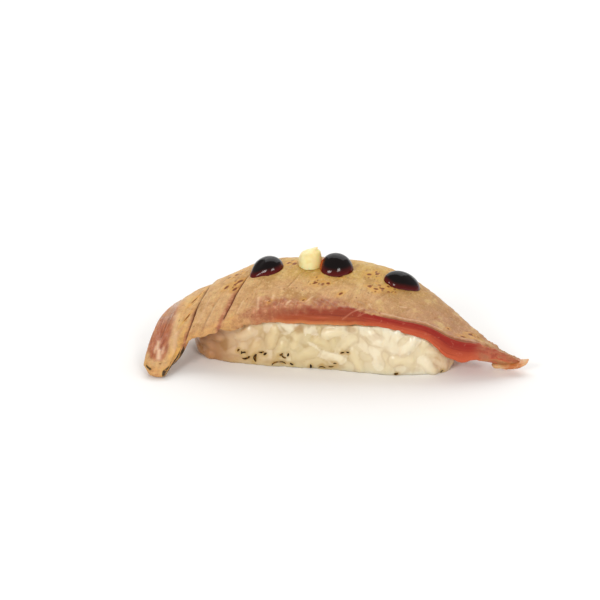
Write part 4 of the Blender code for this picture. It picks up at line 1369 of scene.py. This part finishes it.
def domePiece(name, centre, reach, x, y, lift, fish, material):
    # Closed shell: a dome over the fish's general slope, and a skin on its real surface below
    base = np.vectorize(lambda a, b: onFish(fish, a, b))(x, y)
    dx, dy = x - centre[0], y - centre[1]
    terms = np.stack([np.ones_like(dx), dx, dy, dx * dx, dx * dy, dy * dy], axis=-1)
    slope = np.linalg.lstsq(terms.reshape(-1, 6), base.ravel(), rcond=None)[0]
    general = terms @ slope
    height = np.maximum(general + (base - general) * reach**5 + lift, base + 0.00001)
    rings, sides = x.shape
    count = rings * sides
    outer = count - sides
    middles = [(*centre, slope[0] + lift[0].max()), (*centre, onFish(fish, *centre))]
    points = np.concatenate([spread(x, y, z).reshape(-1, 3) for z in (height, base)] + [middles])
    faces = tubeFaces(rings, sides) + tubeFaces(rings, sides, count)
    faces += fan(0, sides, 2 * count) + fan(count, sides, 2 * count + 1)
    for j in range(sides):
        k = (j + 1) % sides
        faces.append((outer + j, outer + k, count + outer + k, count + outer + j))
    return newPiece(name, points, faces, material)


def outlineSwell(angle, lobes, seed):
    swell = sauce["crawl"] * softField(spread(np.cos(angle), np.sin(angle), 0.0), 0.7, seed)
    for at, size, width in lobes:
        swell = swell + size * bell((angle - at + math.pi) % (2 * math.pi) - math.pi, width)
    return swell


def buildDrop(name, facts, fish, material, seed):
    reach, angle = polar(sauce)
    swell = 1 + outlineSwell(angle, facts["lobes"], seed) * reach**2
    dx = facts["half"][0] * np.cos(angle) * swell * reach
    dy = facts["half"][1] * np.sin(angle) * swell * reach
    dx, dy = turned(dx, dy, -facts["turn"])
    x, y = facts["at"][0] + dx, facts["at"][1] + dy
    dome = (1 - reach**2.2) ** 0.58 + 0 * angle
    lift = sauce["rim"] * (1 - reach**8) + facts["height"] * dome / np.maximum(swell, 1) ** 2
    piece = domePiece(name, facts["at"], reach, x, y, lift, fish, material)
    beside = np.hypot(x - creamBead["at"][0], y - creamBead["at"][1]) - creamBead["stained"]
    edge = np.clip(0.75 * reach**4 + bell(np.maximum(beside, 0), 0.0010), 0, 1)
    paint(piece, "thin", np.concatenate([edge.ravel(), edge.ravel(), [0, 0]]))
    return piece


def darkSauce():
    f = Finish("darkSauce", Specular_IOR_Level=0.25)
    thin, = f.masks("thin")
    colour = f.blend((9, 1, 1), (84, 10, 6), thin.over(0.30, 0.75))
    colour = f.blend(colour, (176, 78, 26), thin.over(0.80, 1.0))
    return f.show(Base_Color=colour, Roughness=0.09 + 0.04 * f.noise(f.place(), 300, 2))


def buildCream(fish, material):
    facts = creamBead
    reach, angle = polar(facts)
    wobble = 1 + 0.05 * np.cos(2 * angle + 0.8) + 0.03 * np.cos(3 * angle)
    dome = (1 - reach**7.5) ** 0.38 + 0 * angle
    spiral = np.sin(2 * math.pi * (1.6 * dome) + angle)
    lean = np.clip(1 - reach, 0, 1) ** 2
    (wide, deep), (leanX, leanY) = facts["half"], facts["peakLean"]
    x = facts["at"][0] + wide * np.cos(angle) * reach * wobble + leanX * lean
    y = facts["at"][1] + deep * np.sin(angle) * reach * wobble + leanY * lean
    slanted = 1 + facts["slant"] * (np.cos(angle) * reach + 0.5 * lean)
    lift = 0.0001 + facts["height"] * dome * slanted + facts["peak"] * bell(reach + 0 * angle, 0.42)
    lift = lift + facts["swirl"] * spiral * (1 - reach**6) * step(0.05, 0.5, reach)
    centre = (facts["at"][0] + leanX, facts["at"][1] + leanY)
    return domePiece("creamBead", centre, reach, x, y, lift, fish, material)


def creamFinish():
    f = Finish("creamSauce", Subsurface_Weight=0.3, Subsurface_Scale=0.0010, Specular_IOR_Level=0.4,
               Coat_Roughness=0.25)
    place = f.place()
    tone = f.noise(place, 420, 2)
    x, _, _ = f.axes(place)
    colour = f.layered(
        f.blend((238, 228, 170), (232, 215, 148), tone.over(0.42, 0.64)),
        ((224, 182, 92), x.over(-0.0042, -0.0022) * 0.40),
        ((196, 110, 40), x.over(-0.0020, -0.0010) * 0.8),
    )
    return f.show(Base_Color=colour, Roughness=0.34 + 0.1 * (tone - 0.5), Coat_Weight=0.15,
                  Normal=f.bumps((tone, 0.0002, 0.3)))


def makeFloor():
    f = Finish("paleFloor", Specular_IOR_Level=0.2)
    colour = f.blend(floor["colour"], floor["shade"], f.noise(f.place(), 6, 2))
    material = f.show(Base_Color=colour, Roughness=0.75)
    r, z = floor["radius"], floor["level"]
    corners = [(-r, -r, z), (r, -r, z), (r, r, z), (-r, r, z)]
    ground = newPiece("floor", corners, [(0, 1, 2, 3)], material, smooth=False)


def dress(piece, slot, *nodes):
    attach(piece, "root")
    if nodes:
        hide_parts(*nodes)


def main():
    makeCamera()
    makeLights()
    makeFloor()
    print("camera, lights and floor made")
    fish = buildFish(searedFish())
    dress(fish, "seared_fish", "fish_slice")
    dress(buildLeaf(leafFinish()), "seared_fish")
    print("fish made:", len(fish.data.polygons), "faces")
    fishTree = treeOf(fish)
    block = buildRice(fishTree, cookedRice())
    dress(block, "cooked_rice", "rice")
    dress(buildSpecks(block, charFinish()), "cooked_rice")
    print("rice made")
    wet = darkSauce()
    for number, (name, facts) in enumerate(sauceDrops.items()):
        drop = buildDrop(name, facts, fishTree, wet, sauce["seed"] + number)
        dress(drop, "dark_sauce", facts["node"])
    dress(buildCream(fishTree, creamFinish()), "cream", creamBead["node"])
    print("toppings made")


main()
